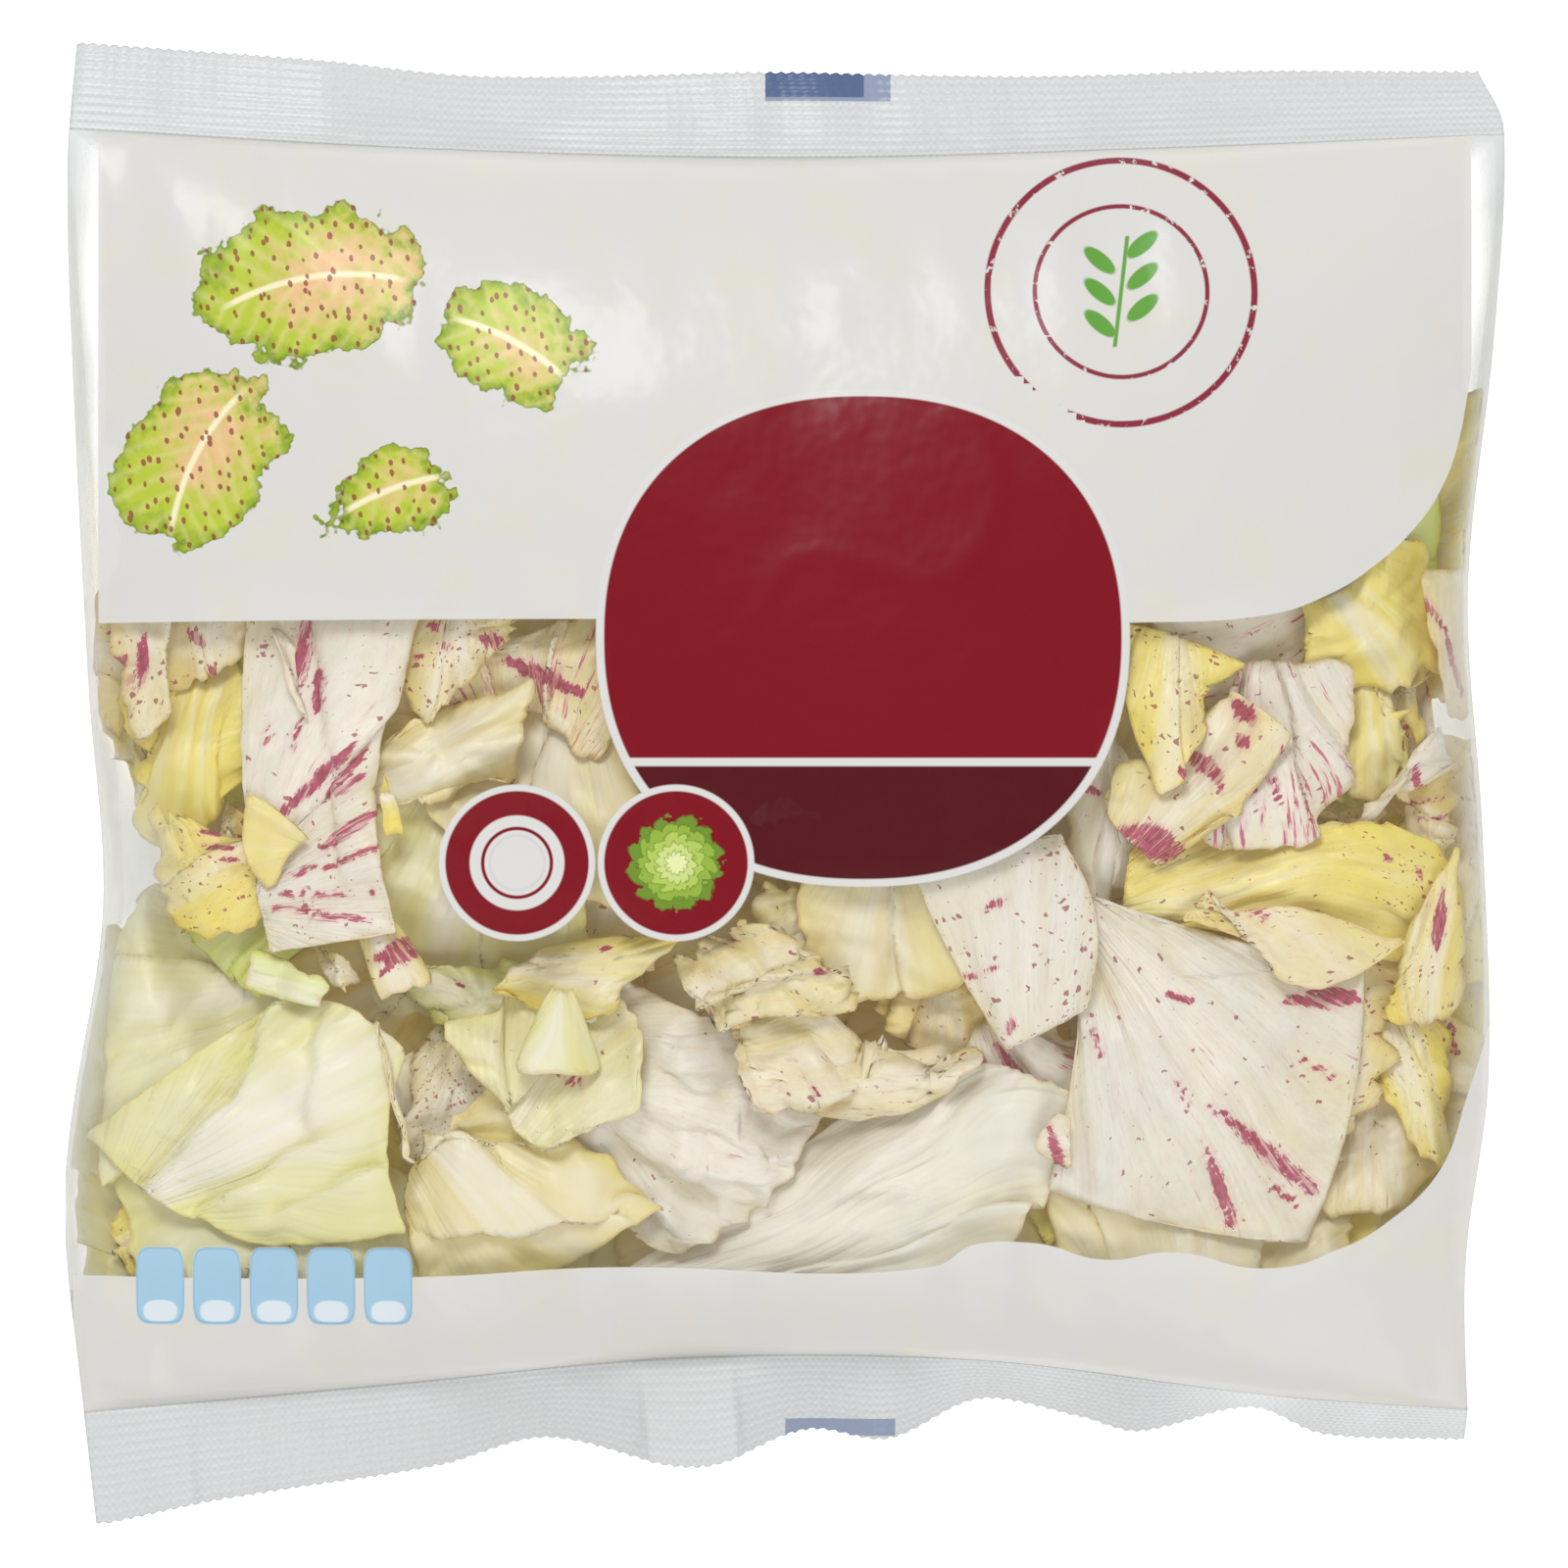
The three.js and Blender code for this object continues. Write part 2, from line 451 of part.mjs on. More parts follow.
// The leaves that lie against the front film, the highest first. Corners go round the cut edge, and the last
// two are the leaf's tip side. bulge is how far each side bows out, bow how far the leaf arches across and
// along, folds is [how many, how deep, slant], waves [how many round the rim, how deep], roll [radius, turn].
const FRONT_LEAVES = [
  { name: "leaf_flag", tint: "white", corners: [[-86, -27], [-67, -24], [-62, 32], [-89, 33]],
    bulge: [0, -5, 0, 3], bow: [1.5, 0], folds: [1, 2.5, 0.5] },
  { name: "leaf_speckled_slab", tint: "white", corners: [[38, -43], [50.5, -37], [46, -10], [23, -14]],
    bulge: [0, 3, 0, 1], bow: [2, 1] },
  { name: "leaf_folded_spotted", tint: "cream", corners: [[73, -18.5], [69, -23], [91, -33], [103, -26.5]],
    bulge: [0, -1, 1, 1], bow: [-2, 1], folds: [1, 2, 0] },
  { name: "leaf_streaked_square", tint: "white", corners: [[47, -67.5], [51.5, -20.5], [96.5, -31], [87.5, -76]],
    bulge: [-2, -1.5, 2.5, 1.5], bow: [1, 2], folds: [1, 2, 0.4] },
  { name: "leaf_yellow_tongue", tint: "yellow", corners: [[58.5, 26], [77, 20], [71, 9], [63, 0.5]],
    bulge: [0, -2, 0, 1], bow: [2, 1] },
  { name: "leaf_blotched", tint: "cream", corners: [[84, 7.5], [76, 13.5], [56, -2], [66.5, -14]],
    bulge: [0, 0, 1, 2], bow: [1.5, 1] },
  { name: "leaf_tube", tint: "cream", corners: [[-37, -53], [-30, -39], [-38, -33.5], [-44.5, -49]],
    bulge: [0, 1, 0, 0], bow: [1, 0], roll: [2.6, 4.2] },
  { name: "leaf_green_roll", tint: "green", corners: [[-89, -37], [-72, -36.5], [-76, -30], [-92, -31]],
    bulge: [1, 1, 1, 1], bow: [1, 0], roll: [2.2, 3.6] },
  { name: "leaf_draped", tint: "pale", corners: [[-67, -74], [-66.5, -45.5], [-85, -38], [-115, -60]],
    bulge: [-3, 2, 0, 8], bow: [1, 1], folds: [1.6, 3.5, -0.7] },
  { name: "leaf_wavy_strip", tint: "yellow", corners: [[-48, -33.5], [-31, -37.5], [-18, -26], [-38, -27.5]],
    bulge: [1, -1, 0, 0], bow: [-2, 2], waves: [4, 2] },
  { name: "leaf_jagged", tint: "cream", corners: [[-18, -29], [-9, -41], [15, -33.5], [-6, -23.5]],
    bulge: [0, 0, 0, 0], bow: [1, 1], waves: [5, 3] },
  { name: "leaf_ruffled", tint: "white", corners: [[-7, -37.5], [-5, -51], [12, -56], [31, -46]],
    bulge: [0, 0, 2, 2], bow: [1, 1], folds: [2, 4, 0.6], waves: [5, 2] },
  { name: "leaf_yellow_fold", tint: "yellow", corners: [[-55, -42], [-44, -57], [-26, -50], [-31.5, -34.5]],
    bulge: [1, 3, 2, 0], bow: [-3, 1] },
  { name: "leaf_spotted_tip", tint: "cream", corners: [[-106, 34], [-112, 34], [-111, 9], [-106, 16]],
    bulge: [0, 0, 0, 1], bow: [1, 0] },
  { name: "leaf_cream_corner", tint: "cream", corners: [[-89, 33], [-106, 34], [-104, 18], [-90, 25]],
    bulge: [0, 0, 1, 0], bow: [1, 2] },
  { name: "leaf_spotted_top", tint: "cream", corners: [[-62, 32], [-46, 30.5], [-49, 22.5], [-60, 13]],
    bulge: [0, 0, -1, 2], bow: [1, 2] },
  { name: "leaf_purple_roll", tint: "cream", corners: [[-59, -33.5], [-64, -38.5], [-69.5, -31], [-65, -25]],
    bulge: [0, 0, 1, 0], bow: [2, 1], roll: [2.4, 3.4] },
  { name: "leaf_cream_wedge", tint: "yellow", corners: [[-26.5, -73], [-48, -54], [-62, -66], [-58, -84]],
    bulge: [0, 1, 0, 1], bow: [2, 2], folds: [1, 2, 0.3] },
  { name: "leaf_white_fan", tint: "white", corners: [[-28, -36.5], [-42.5, -57], [-19, -78], [3.5, -57]],
    bulge: [2, 0, 3, 3], bow: [2, 1], folds: [1.5, 3, 0] },
  { name: "leaf_white_rib", tint: "white", corners: [[24, -50], [-21, -82], [30, -84], [45, -55]],
    bulge: [0, 0, 3, 1], bow: [3, 1] },
  { name: "leaf_purple_ribbed", tint: "white", corners: [[77, 17], [92.5, 17], [88, -6.5], [73, -7]],
    bulge: [0, 1, 0, -1], bow: [1, 1], folds: [1, 2, 0.5] },
  { name: "leaf_right_upright", tint: "yellow", corners: [[106, -37.5], [113, -35], [113, -16], [106.5, -27]],
    bow: [1, 1] },
  { name: "leaf_big_yellow", tint: "yellow", corners: [[108, -27], [106.5, -10.5], [64, -10], [61, -22.5]],
    bulge: [4, 1, 0, -3], bow: [3, 1] },
  { name: "leaf_white_lobe", tint: "white", corners: [[53, 11], [61, 2], [62, -12], [51, -17.5]],
    bulge: [0, 0, 1, 2], bow: [2, 1] },
  { name: "leaf_yellow_corner", tint: "yellow", corners: [[91, 27], [105, 38], [110, 23], [93, 18]],
    bulge: [0, 0, 1, 0], bow: [2, 1], waves: [4, 2] },
  { name: "leaf_spoon", tint: "white", corners: [[97.5, -4], [106, 5], [112, 6], [110, 0]],
    bulge: [1, 1, 1, -1], bow: [-1.5, 0] },
  { name: "leaf_pale_lobe", tint: "pale", corners: [[95, 16], [105, 18], [107, 7], [97.5, -1]],
    bulge: [1, 1, 1, 0], bow: [2, 1] },
  { name: "leaf_green_ruffle", tint: "green", corners: [[-61, -35], [-45, -32.5], [-41, -41], [-57, -42.5]],
    bow: [1, 1], waves: [6, 3] },
  { name: "leaf_white_curl", tint: "cream", corners: [[-66, -1], [-50, 2], [-46, 14], [-70, 6]],
    bow: [1, 2], waves: [6, 3] },
  { name: "leaf_pink_arch", tint: "cream", corners: [[-57.5, 14], [-33, 9], [-31, 27], [-51, 23]],
    bulge: [-2, 0, 0, 2], bow: [2, 2] },
  { name: "leaf_yellow_middle", tint: "yellow", corners: [[-106, -7], [-97, -8], [-85, -18], [-100, -23]],
    bulge: [0, 1, 1, 1], bow: [2, 1], waves: [4, 2] },
  { name: "leaf_green_middle", tint: "green", corners: [[-101, -17], [-85, -18], [-85, -31], [-95, -31]],
    bulge: [1, 1, 2, 1], bow: [3, 1] },
  { name: "leaf_pale_large", tint: "pale", corners: [[-111, -27], [-101, -20], [-87, -41], [-113, -62]],
    bulge: [1, 3, 0, 0], bow: [2, 1] },
  { name: "leaf_yellow_left", tint: "yellow", corners: [[-110, 20], [-87, 20], [-94, 0], [-107, -6]],
    bulge: [0, -1, 1, 1], bow: [3, 1], folds: [1, 2, 0.4] },
  { name: "leaf_purple_stripe", tint: "white", corners: [[33, -44.5], [44, -40], [49, -53], [40, -56]],
    bulge: [0, 1, 0, 1], bow: [2, 0] },
  { name: "leaf_cream_post", tint: "cream", corners: [[6, -15], [29, -16.5], [31, -31], [10, -34]],
    bulge: [0, 0, 0, 1], bow: [-2, 1], folds: [1, 3, 0] },
  { name: "leaf_olive_cup", tint: "cream", corners: [[17, -32.5], [32, -30.5], [34, -44], [22, -44]],
    bulge: [0, 0, 0, 1], bow: [-2, 2] },
  { name: "leaf_speckled_low", tint: "white", corners: [[-61.5, -48], [-50, -46], [-49, -60], [-61.5, -67]],
    bulge: [0, 0, 0, 0], bow: [2, 1] },
  { name: "leaf_pink_band", tint: "white", corners: [[60, 33], [92, 33], [90, 20], [73, 17]], bow: [1, 2] },
  { name: "leaf_speckled_mid", tint: "cream", corners: [[96, -30], [104, -33], [103, -52], [93, -58]],
    bow: [2, 1] },
  { name: "leaf_yellow_ruffle", tint: "yellow", corners: [[104, -39], [112, -42], [111, -61], [103, -52]],
    bow: [1, 1], waves: [5, 3] },
  { name: "leaf_pink_bowl", tint: "cream", corners: [[92, -58], [105, -53], [107, -67], [92, -71]],
    bulge: [1, 1, 2, 0], bow: [-3, -2] },
  { name: "leaf_brown_lined", tint: "cream", corners: [[106, 0], [113, 1], [113, -17], [108, -20]],
    bow: [2, 1] },
  { name: "leaf_under_square", tint: "pale", corners: [[49, -66], [92, -72], [93, -86], [52, -87]],
    bulge: [0, 0, 1, 0], bow: [1, 2] },
  { name: "leaf_lower_right", tint: "yellow", corners: [[100, -58], [110, -58], [108, -78], [93, -82]],
    bulge: [0, 1, 2, 0], bow: [2, 1] },
  { name: "leaf_low_left", tint: "pale", corners: [[-111, -61], [-60, -70], [-58, -92], [-104, -91]],
    bulge: [0, 0, 0, 1], bow: [1, 1], folds: [1, 2, 0.3] },
  { name: "leaf_cream_under", tint: "cream", corners: [[-54, 10], [-30, 10], [-24, -20], [-54, -6]],
    bow: [2, 2] },
  { name: "leaf_veined_deep", tint: "pale", corners: [[-69, 1], [-46, 0], [-36, -30], [-66, -31]],
    bulge: [1, 1, 1, 1], bow: [2, 2], folds: [1, 3, 0.3] },
];

// Rows of broad leaves drawn by a rule: those under the opaque print, and those against the back film.
const RULED_ROWS = [
  { name: "leaf_upper", side: "front", x: [-84, -28, 28, 84], y: [66], size: [58, 56], loose: 2, seed: 5 },
  { name: "leaf_back", side: "back", x: [-70, 0, 70], y: [-46, 36], size: [80, 92], loose: 1, seed: 23 },
];
const RULED_TINTS = ["pale", "yellow", "white", "green", "cream"];

function ruledLeaves({ name, side, x, y, size, loose, seed }) {
  const random = randomSource(seed);
  const spread = (amount) => (2 * random() - 1) * amount;
  return y.flatMap((cy) => x.map((cx) => ({ cx, cy }))).map(({ cx, cy }, k) => {
    const turn = spread(0.28);
    const corners = [[-1, -1], [1, -1], [1, 1], [-1, 1]].map(([sx, sy]) => {
      const [px, py] = [sx * size[0] / 2 + spread(3), sy * size[1] / 2 + spread(4)];
      return [cx + px * Math.cos(turn) - py * Math.sin(turn), cy + px * Math.sin(turn) + py * Math.cos(turn)];
    });
    const reachX = side === "front" ? 111 : 105;
    return {
      name: `${name}_${k + 1}`,
      side,
      tint: RULED_TINTS[k % RULED_TINTS.length],
      corners: corners.map(([px, py]) => [clamp(px, -reachX, reachX), clamp(py, -89, 101)]),
      bulge: [spread(2), spread(2), spread(2), spread(2)],
      bow: [spread(1), spread(1)],
      folds: [1 + random(), loose * (0.5 + random()), spread(0.5)],
    };
  });
}

const TINTS = {
  white: "#e9e4da",
  cream: "#e6dcb4",
  pale: "#dfe0b8",
  yellow: "#e2da86",
  green: "#c9d48a",
};

function leafMaterial(tint) {
  return new THREE.MeshStandardMaterial({ color: TINTS[tint], roughness: 0.45, metalness: 0 });
}

function filmMaterial() {
  return new THREE.MeshStandardMaterial({ color: "#f4f5f4", roughness: 0.15, metalness: 0, transparent: true,
    opacity: 0.3 });
}

function named(name, geometry, material) {
  geometry.computeVertexNormals();
  const mesh = new THREE.Mesh(geometry, material);
  mesh.name = name;
  return mesh;
}

const bag = new THREE.Group();
bag.add(named("film_bag", filmBag(), filmMaterial()));
const ruled = RULED_ROWS.flatMap(ruledLeaves);
const packed = [...ruled.filter((leaf) => leaf.side === "back"), ...FRONT_LEAVES,
  ...ruled.filter((leaf) => leaf.side === "front")];
for (const leaf of packed)
  bag.add(named(leaf.name, packLeaf(leaf, leaf.side ?? "front"), leafMaterial(leaf.tint)));

export default bag;
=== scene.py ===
# A sealed pillow bag of cut variegated radicchio on its back, seen from straight above.
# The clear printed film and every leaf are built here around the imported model.
# Lengths are in millimetres where nothing else is said.

import itertools
import math

import bpy
import numpy as np
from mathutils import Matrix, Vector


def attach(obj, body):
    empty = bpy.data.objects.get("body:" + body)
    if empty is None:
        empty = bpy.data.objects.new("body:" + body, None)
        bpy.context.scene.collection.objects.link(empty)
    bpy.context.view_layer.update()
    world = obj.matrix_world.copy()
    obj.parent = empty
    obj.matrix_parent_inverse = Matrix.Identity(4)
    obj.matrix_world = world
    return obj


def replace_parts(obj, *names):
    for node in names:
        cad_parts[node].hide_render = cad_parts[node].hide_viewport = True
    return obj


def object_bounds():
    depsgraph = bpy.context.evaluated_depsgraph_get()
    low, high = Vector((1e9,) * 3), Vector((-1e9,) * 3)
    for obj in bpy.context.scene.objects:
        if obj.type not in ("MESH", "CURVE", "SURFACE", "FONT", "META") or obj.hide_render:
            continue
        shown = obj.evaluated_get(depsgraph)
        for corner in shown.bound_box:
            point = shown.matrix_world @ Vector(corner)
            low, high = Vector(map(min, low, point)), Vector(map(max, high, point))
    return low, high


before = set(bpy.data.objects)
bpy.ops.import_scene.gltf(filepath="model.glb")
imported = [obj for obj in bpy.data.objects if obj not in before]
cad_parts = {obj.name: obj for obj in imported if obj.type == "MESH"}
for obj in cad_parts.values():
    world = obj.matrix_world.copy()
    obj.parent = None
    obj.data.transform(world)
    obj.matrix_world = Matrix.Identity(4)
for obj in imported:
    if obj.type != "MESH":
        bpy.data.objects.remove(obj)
cad_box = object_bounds()

MM = 0.001

# ---------------------------------------------------------------- driving dimensions, in millimetres

PHOTO_WIDTH = 1600  # pixels across the photograph
PIXELS_PER_MM = 6
CAMERA_HEIGHT = 2500
SENSOR = 36
AIM_HEIGHT = 20  # height at which the frame is to scale

HALF_WIDTH, HALF_LENGTH = 119, 105  # of the filled part
SIDE_RISE = 16
END_RISE = 3
FRONT_SWELL = 29
BACK_SWELL = 27
SWELL_LUMPS = 0.035
EDGE_THICKNESS = 1.4
TOP_CRIMP = 15.5
BOTTOM_CRIMP = 17.5
CRIMP_FLOOR = 1.6
LAP_FROM, LAP_TO, LAP_LENGTH = -3, 12, 190  # across the back from x to x, and along it

LEFT_EDGE = [[-126, -117], [-108, -119], [-75, -122.5], [-58, -121.5], [-21, -116], [17, -118.5],
             [67, -121], [103, -122], [127, -120.5]]
RIGHT_EDGE = [[-113, 116.5], [-82, 116], [-50, 120], [-8, 119], [33, 116.5], [77, 121], [112, 122.5],
              [122, 118.5]]
TOP_LINE = [[-122, 111.5], [-60, 108], [0, 106.5], [60, 108], [122, 110.5]]
BOTTOM_LINE = [[-120, -107], [-66, -102], [-16, -97.5], [33, -98], [83, -104], [117, -106.5]]
TOP_END = [[-120, 126.5], [-78, 123.5], [-50, 121], [0, 121.5], [42, 121], [83, 122], [118, 122]]
BOTTOM_END = [[-117, -126], [-100, -122.5], [-60, -116.5], [-42, -112], [-16, -116.5], [3, -110.5],
              [17, -112], [33, -105.5], [50, -108.5], [60, -111], [80, -107], [92, -111.5], [116, -112.5]]

FILM_INSET = 0.5  # the drawn film lies this far inside the solid bag's face
WRINKLE = 0.5  # how much of their drawn height the film's wrinkles keep
WRINKLE_LOW, WRINKLE_HIGH = -1.3, 0.45  # most that they fall or rise
FILM_CELLS = (190, 180)
SEAM = 0.12  # half the film's thickness where its front and back meet
SEAM_REACH = 1.2  # how far from a seam the two have parted
LEAST_GAP = 0.2  # between front and back
LEAST_LIFT = 0.25  # of the back over the table
SLACK = [(-114, -13, 9), (118, 19, 5), (115, 10, 5)]  # where the film hangs empty and milky: place and reach
CRIMP_CELLS = (380, 34)
CRIMP_THICKNESS = 0.35
CRIMP_RIB = 0.09
CRIMP_RIB_PITCH = 1.55
KNURL_PITCH = (1.15, 1.5)
SERRATION = 0.55
SERRATION_PITCH = 1.9

LAP_CELLS = (24, 130)
LAP_THICKNESS = 0.18

BLADE_CELL = 1.0  # mesh spacing on a leaf
HIDDEN_CELL = 1.7  # the same on one that others cover
LEAST_CELLS = 14  # along each side of a leaf
BACK_CELL, BACK_SCRAP_CELL = 1.5, 1.3
BLADE = 0.5  # leaf thickness away from its ribs
RIDGE_THICKNESS, RIB_THICKNESS = 0.12, 0.3  # what veins and a middle rib add on each side
THIN_SHARE = 0.35  # a leaf's thickness at its rim, as a share of that inside
LEAF_PAINTED_GLOW = 0.06  # painted glow: light the leaves give off themselves, standing in for light that comes through them from their neighbours
VEIN_HEIGHT = 0.0007  # in metres, of the bump along the veins
RELIEF_KEPT = 0.42  # share of a solid blade's hollows that its leaf keeps
GROWTH = (1.6, 6.0, 22)  # how far the top leaf and the deep ones go on past their solids, and from which on
EDGE_ROOM, LEAST_EDGE_ROOM = 1.6, 0.9  # between a leaf and the bag's outline
BACK_GAP, SCRAP_BACK_GAP = 1.5, 2.5  # least height over the back film
BACK_ROOM = 2.6  # room left for smaller leaves under the back's large ones
CLEAR_OF_FILM = 0.7
CLEAR_OF_LEAF = 0.22
STACK_CELL = 1.0  # spacing of the map of what lies above
ROOT_AWAY, ROOT_LEAST = 0.85, 0.7  # a root's distance, as a share of the leaf's longer side
ROOT_CLEAR = 6  # a root nearer to its leaf than this is moved away
# How far in from its rim a leaf shows its margin's tint, its frills, its curls and its thin edge.
EDGE_REACH, FRILL_REACH, CURL_REACH, THIN_REACH = 4.5, 5.0, 7.0, 1.3
# How deep its relief is: at the margin, between the ridged veins, and all over.
FRILL_DEPTH, CURL_DEPTH, RIDGE_DEPTH = 2.7, 1.7, 0.6
SWELL_DEPTH, CREASE_DEPTH, PLEAT_DEPTH, BLISTER_DEPTH = 1.2, 2.6, 1.3, 0.3
FOLD_DROP = 1.7  # width of a fold's drop
LEAN = 3.4  # most that a fold's crest leans over its drop
ROLL_FLAT = 0.55  # height of a rolled leaf as a share of its width
ROLL_UNEVEN = 0.12
ROLL_CELLS = (14, 6)  # round and along a roll's first grid
PATCH_CELLS = (6, 6)  # the same of a scrap's
FIRST_SEED = 97
FLOOR_SIZE, FLOOR_HEIGHT = 6, -0.0004  # in metres
FLOOR_GLOW, SKY = 0.45, 0.64

# ---------------------------------------------------------------- small helpers


def clamp(x, low=0.0, high=1.0):
    return np.clip(x, low, high)


def mix(a, b, t):
    return a + (b - a) * t


def smooth(t):
    t = clamp(t)
    return t * t * (3 - 2 * t)


def curve_through(points):
    """A smooth curve through points (t, value), by cubic Hermite spans."""
    t, v = np.array(points, float).T
    last = len(t) - 1
    before, after = np.maximum(np.arange(last + 1) - 1, 0), np.minimum(np.arange(last + 1) + 1, last)
    slope = (v[after] - v[before]) / (t[after] - t[before])

    def value(x):
        x = clamp(x, t[0], t[-1])
        i = np.clip(np.searchsorted(t, x, side="right") - 1, 0, last - 1)
        h = t[i + 1] - t[i]
        s = (x - t[i]) / h
        return (v[i] * (2 * s**3 - 3 * s**2 + 1) + h * slope[i] * (s**3 - 2 * s**2 + s)
                + v[i + 1] * (3 * s**2 - 2 * s**3) + h * slope[i + 1] * (s**3 - s**2))

    return value


def net(first, second, cells):
    """Two even runs of numbers, each over its own cells, spread into a grid."""
    runs = [np.linspace(*ends, count + 1) for ends, count in zip((first, second), cells)]
    return np.meshgrid(*runs, indexing="ij")


class Noise:
    """Smooth value noise from -1 to 1 over the plane, from its own seed."""

    SIZE = 97

    def __init__(self, seed):
        self.table = np.random.default_rng(seed).uniform(-1, 1, (self.SIZE, self.SIZE))

    def __call__(self, x, y):
        x, y = np.broadcast_arrays(np.asarray(x, float), np.asarray(y, float))
        i, j = np.floor(x).astype(int), np.floor(y).astype(int)
        s, t = smooth(x - i), smooth(y - j)

        def at(p, q):
            return self.table[p % self.SIZE, q % self.SIZE]

        return mix(mix(at(i, j), at(i + 1, j), s), mix(at(i, j + 1), at(i + 1, j + 1), s), t)

    def layered(self, x, y, layers=3):
        total, weight = 0.0, 0.0
        for k in range(layers):
            total = total + self(x * 2**k + 11.3 * k, y * 2**k + 7.7 * k) / 2**k
            weight += 1 / 2**k
        return total / weight


# ---------------------------------------------------------------- the bag's surfaces

left_edge, right_edge = curve_through(LEFT_EDGE), curve_through(RIGHT_EDGE)
top_line, bottom_line = curve_through(TOP_LINE), curve_through(BOTTOM_LINE)
top_end, bottom_end = curve_through(TOP_END), curve_through(BOTTOM_END)


def across_of(x, y):
    """From -1 at the bag's left edge to 1 at its right one."""
    return (2 * x - left_edge(y) - right_edge(y)) / (right_edge(y) - left_edge(y))


def along_of(x, y):
    """From -1 at the bottom seal to 1 at the top one."""
    return (2 * y - bottom_line(x) - top_line(x)) / (top_line(x) - bottom_line(x))


def plan_at(u, v):
    """The place that lies so far across and along the bag."""
    x, y = u * 120.0, v * 105.0  # a first guess, which six rounds settle
    for _ in range(6):
        x = mix(left_edge(y), right_edge(y), (u + 1) / 2)
        y = mix(bottom_line(x), top_line(x), (v + 1) / 2)
    return x, y


def swell(x, y):
    """How far the two films part, from 0 at the bag's outline to 1 in its middle."""
    u, v = clamp(np.abs(across_of(x, y))), clamp(np.abs(along_of(x, y)))
    return (1 - u**2.6) ** 0.54 * (1 - v**2.4) ** 0.6


def lumps(x, y):
    """How unevenly the leaves fill out the front."""
    return 1 + SWELL_LUMPS * (np.sin(x / 17 + 1) * np.cos(y / 21) + np.sin((x + y) / 29))


def edge_height(x, y):
    """Height at which the front and the back meet."""
    return SIDE_RISE + END_RISE * clamp(np.abs(along_of(x, y))) ** 2


def front_height(x, y):
    return edge_height(x, y) + EDGE_THICKNESS / 2 + FRONT_SWELL * swell(x, y) * lumps(x, y)


def back_height(x, y):
    return np.maximum(0, edge_height(x, y) - EDGE_THICKNESS / 2 - BACK_SWELL * swell(x, y))


film_noise, pucker_noise, crease_noise = Noise(41), Noise(42), Noise(43)


def wrinkles(x, y):
    """Rise and fall of the front film: gathers at both crimps, creases at the sides, soft dents between."""
    from_end = (1 - np.abs(along_of(x, y))) * HALF_LENGTH
    from_side = (1 - np.abs(across_of(x, y))) * HALF_WIDTH
    gathers = pucker_noise(x / 6.5 + 0.02 * y, y / 60) * np.exp(-from_end / 17)
    fan = 1 - np.abs(crease_noise(x / 26 + y / 60, y / 19 - x / 40))
    creases = (fan**6 - 0.25) * np.exp(-from_side / 26)
    dents = film_noise.layered(x / 24, y / 21) * 0.55 + crease_noise(x / 8, y / 9) * 0.2
    tension = 1 - np.abs(film_noise(x / 34 - y / 90, y / 30 + x / 70))
    return 2.8 * gathers + 1.2 * creases + dents + 0.5 * (tension**8 - 0.2)


def front_film(x, y):
    """Height of the drawn front film, with its wrinkles."""
    fade = clamp((1 - np.abs(across_of(x, y))) * 25) * clamp((1 - np.abs(along_of(x, y))) * 25)
    rise = clamp(wrinkles(x, y) * WRINKLE, WRINKLE_LOW, WRINKLE_HIGH)
    return front_height(x, y) - FILM_INSET + fade * rise


# ---------------------------------------------------------------- meshes


def grid_faces(columns, rows, offset=0, flip=False):
    """Quads of a grid of points stored column by column."""
    i, j = np.meshgrid(np.arange(columns - 1), np.arange(rows - 1), indexing="ij")
    a = (i * rows + j).ravel() + offset
    quads = np.stack([a, a + rows, a + rows + 1, a + 1], axis=1)
    return quads[:, ::-1] if flip else quads


def rim_faces(columns, rows, offset):
    """Quads that close two equal grids, the second starting at offset, round their outline."""
    bottom = np.arange(columns) * rows
    right = (columns - 1) * rows + np.arange(rows)
    top = np.arange(columns)[::-1] * rows + rows - 1
    left = np.arange(rows)[::-1]
    ring = np.concatenate([bottom[:-1], right[:-1], top[:-1], left[:-1]])
    after = np.roll(ring, -1)
    return np.stack([ring + offset, after + offset, after, ring], axis=1)


def new_mesh(name, points_mm, faces):
    """A smooth mesh of quads."""
    mesh = bpy.data.meshes.new(name)
    mesh.vertices.add(len(points_mm))
    mesh.vertices.foreach_set("co", (points_mm * MM).astype(np.float32).ravel())
    mesh.loops.add(faces.size)
    mesh.loops.foreach_set("vertex_index", faces.astype(np.int32).ravel())
    mesh.polygons.add(len(faces))
    mesh.polygons.foreach_set("loop_start", np.arange(0, faces.size, 4, dtype=np.int32))
    mesh.polygons.foreach_set("use_smooth", np.ones(len(faces), bool))
    mesh.update()
    mesh.validate()
    return mesh


def closed_skin(name, top, bottom, flip=False):
    """Two equal grids of points, one over the other, as a mesh closed round their outline, and its faces."""
    columns, rows = top.shape[:2]
    rim = rim_faces(columns, rows, columns * rows)
    faces = [grid_faces(columns, rows, flip=flip), grid_faces(columns, rows, columns * rows, flip=not flip),
             rim[:, ::-1] if flip else rim]
    points = np.concatenate([top.reshape(-1, 3), bottom.reshape(-1, 3)])
    return new_mesh(name, points, np.concatenate(faces)), faces


def twice(values):
    """A grid's values for both skins of its mesh."""
    return np.tile(values.ravel(), 2)


def add_uv(mesh, name, x, y):
    loops = np.zeros(len(mesh.loops), np.int32)
    mesh.loops.foreach_get("vertex_index", loops)
    values = np.stack([x, y], axis=1)[loops]
    mesh.uv_layers.new(name=name).data.foreach_set("uv", values.astype(np.float32).ravel())


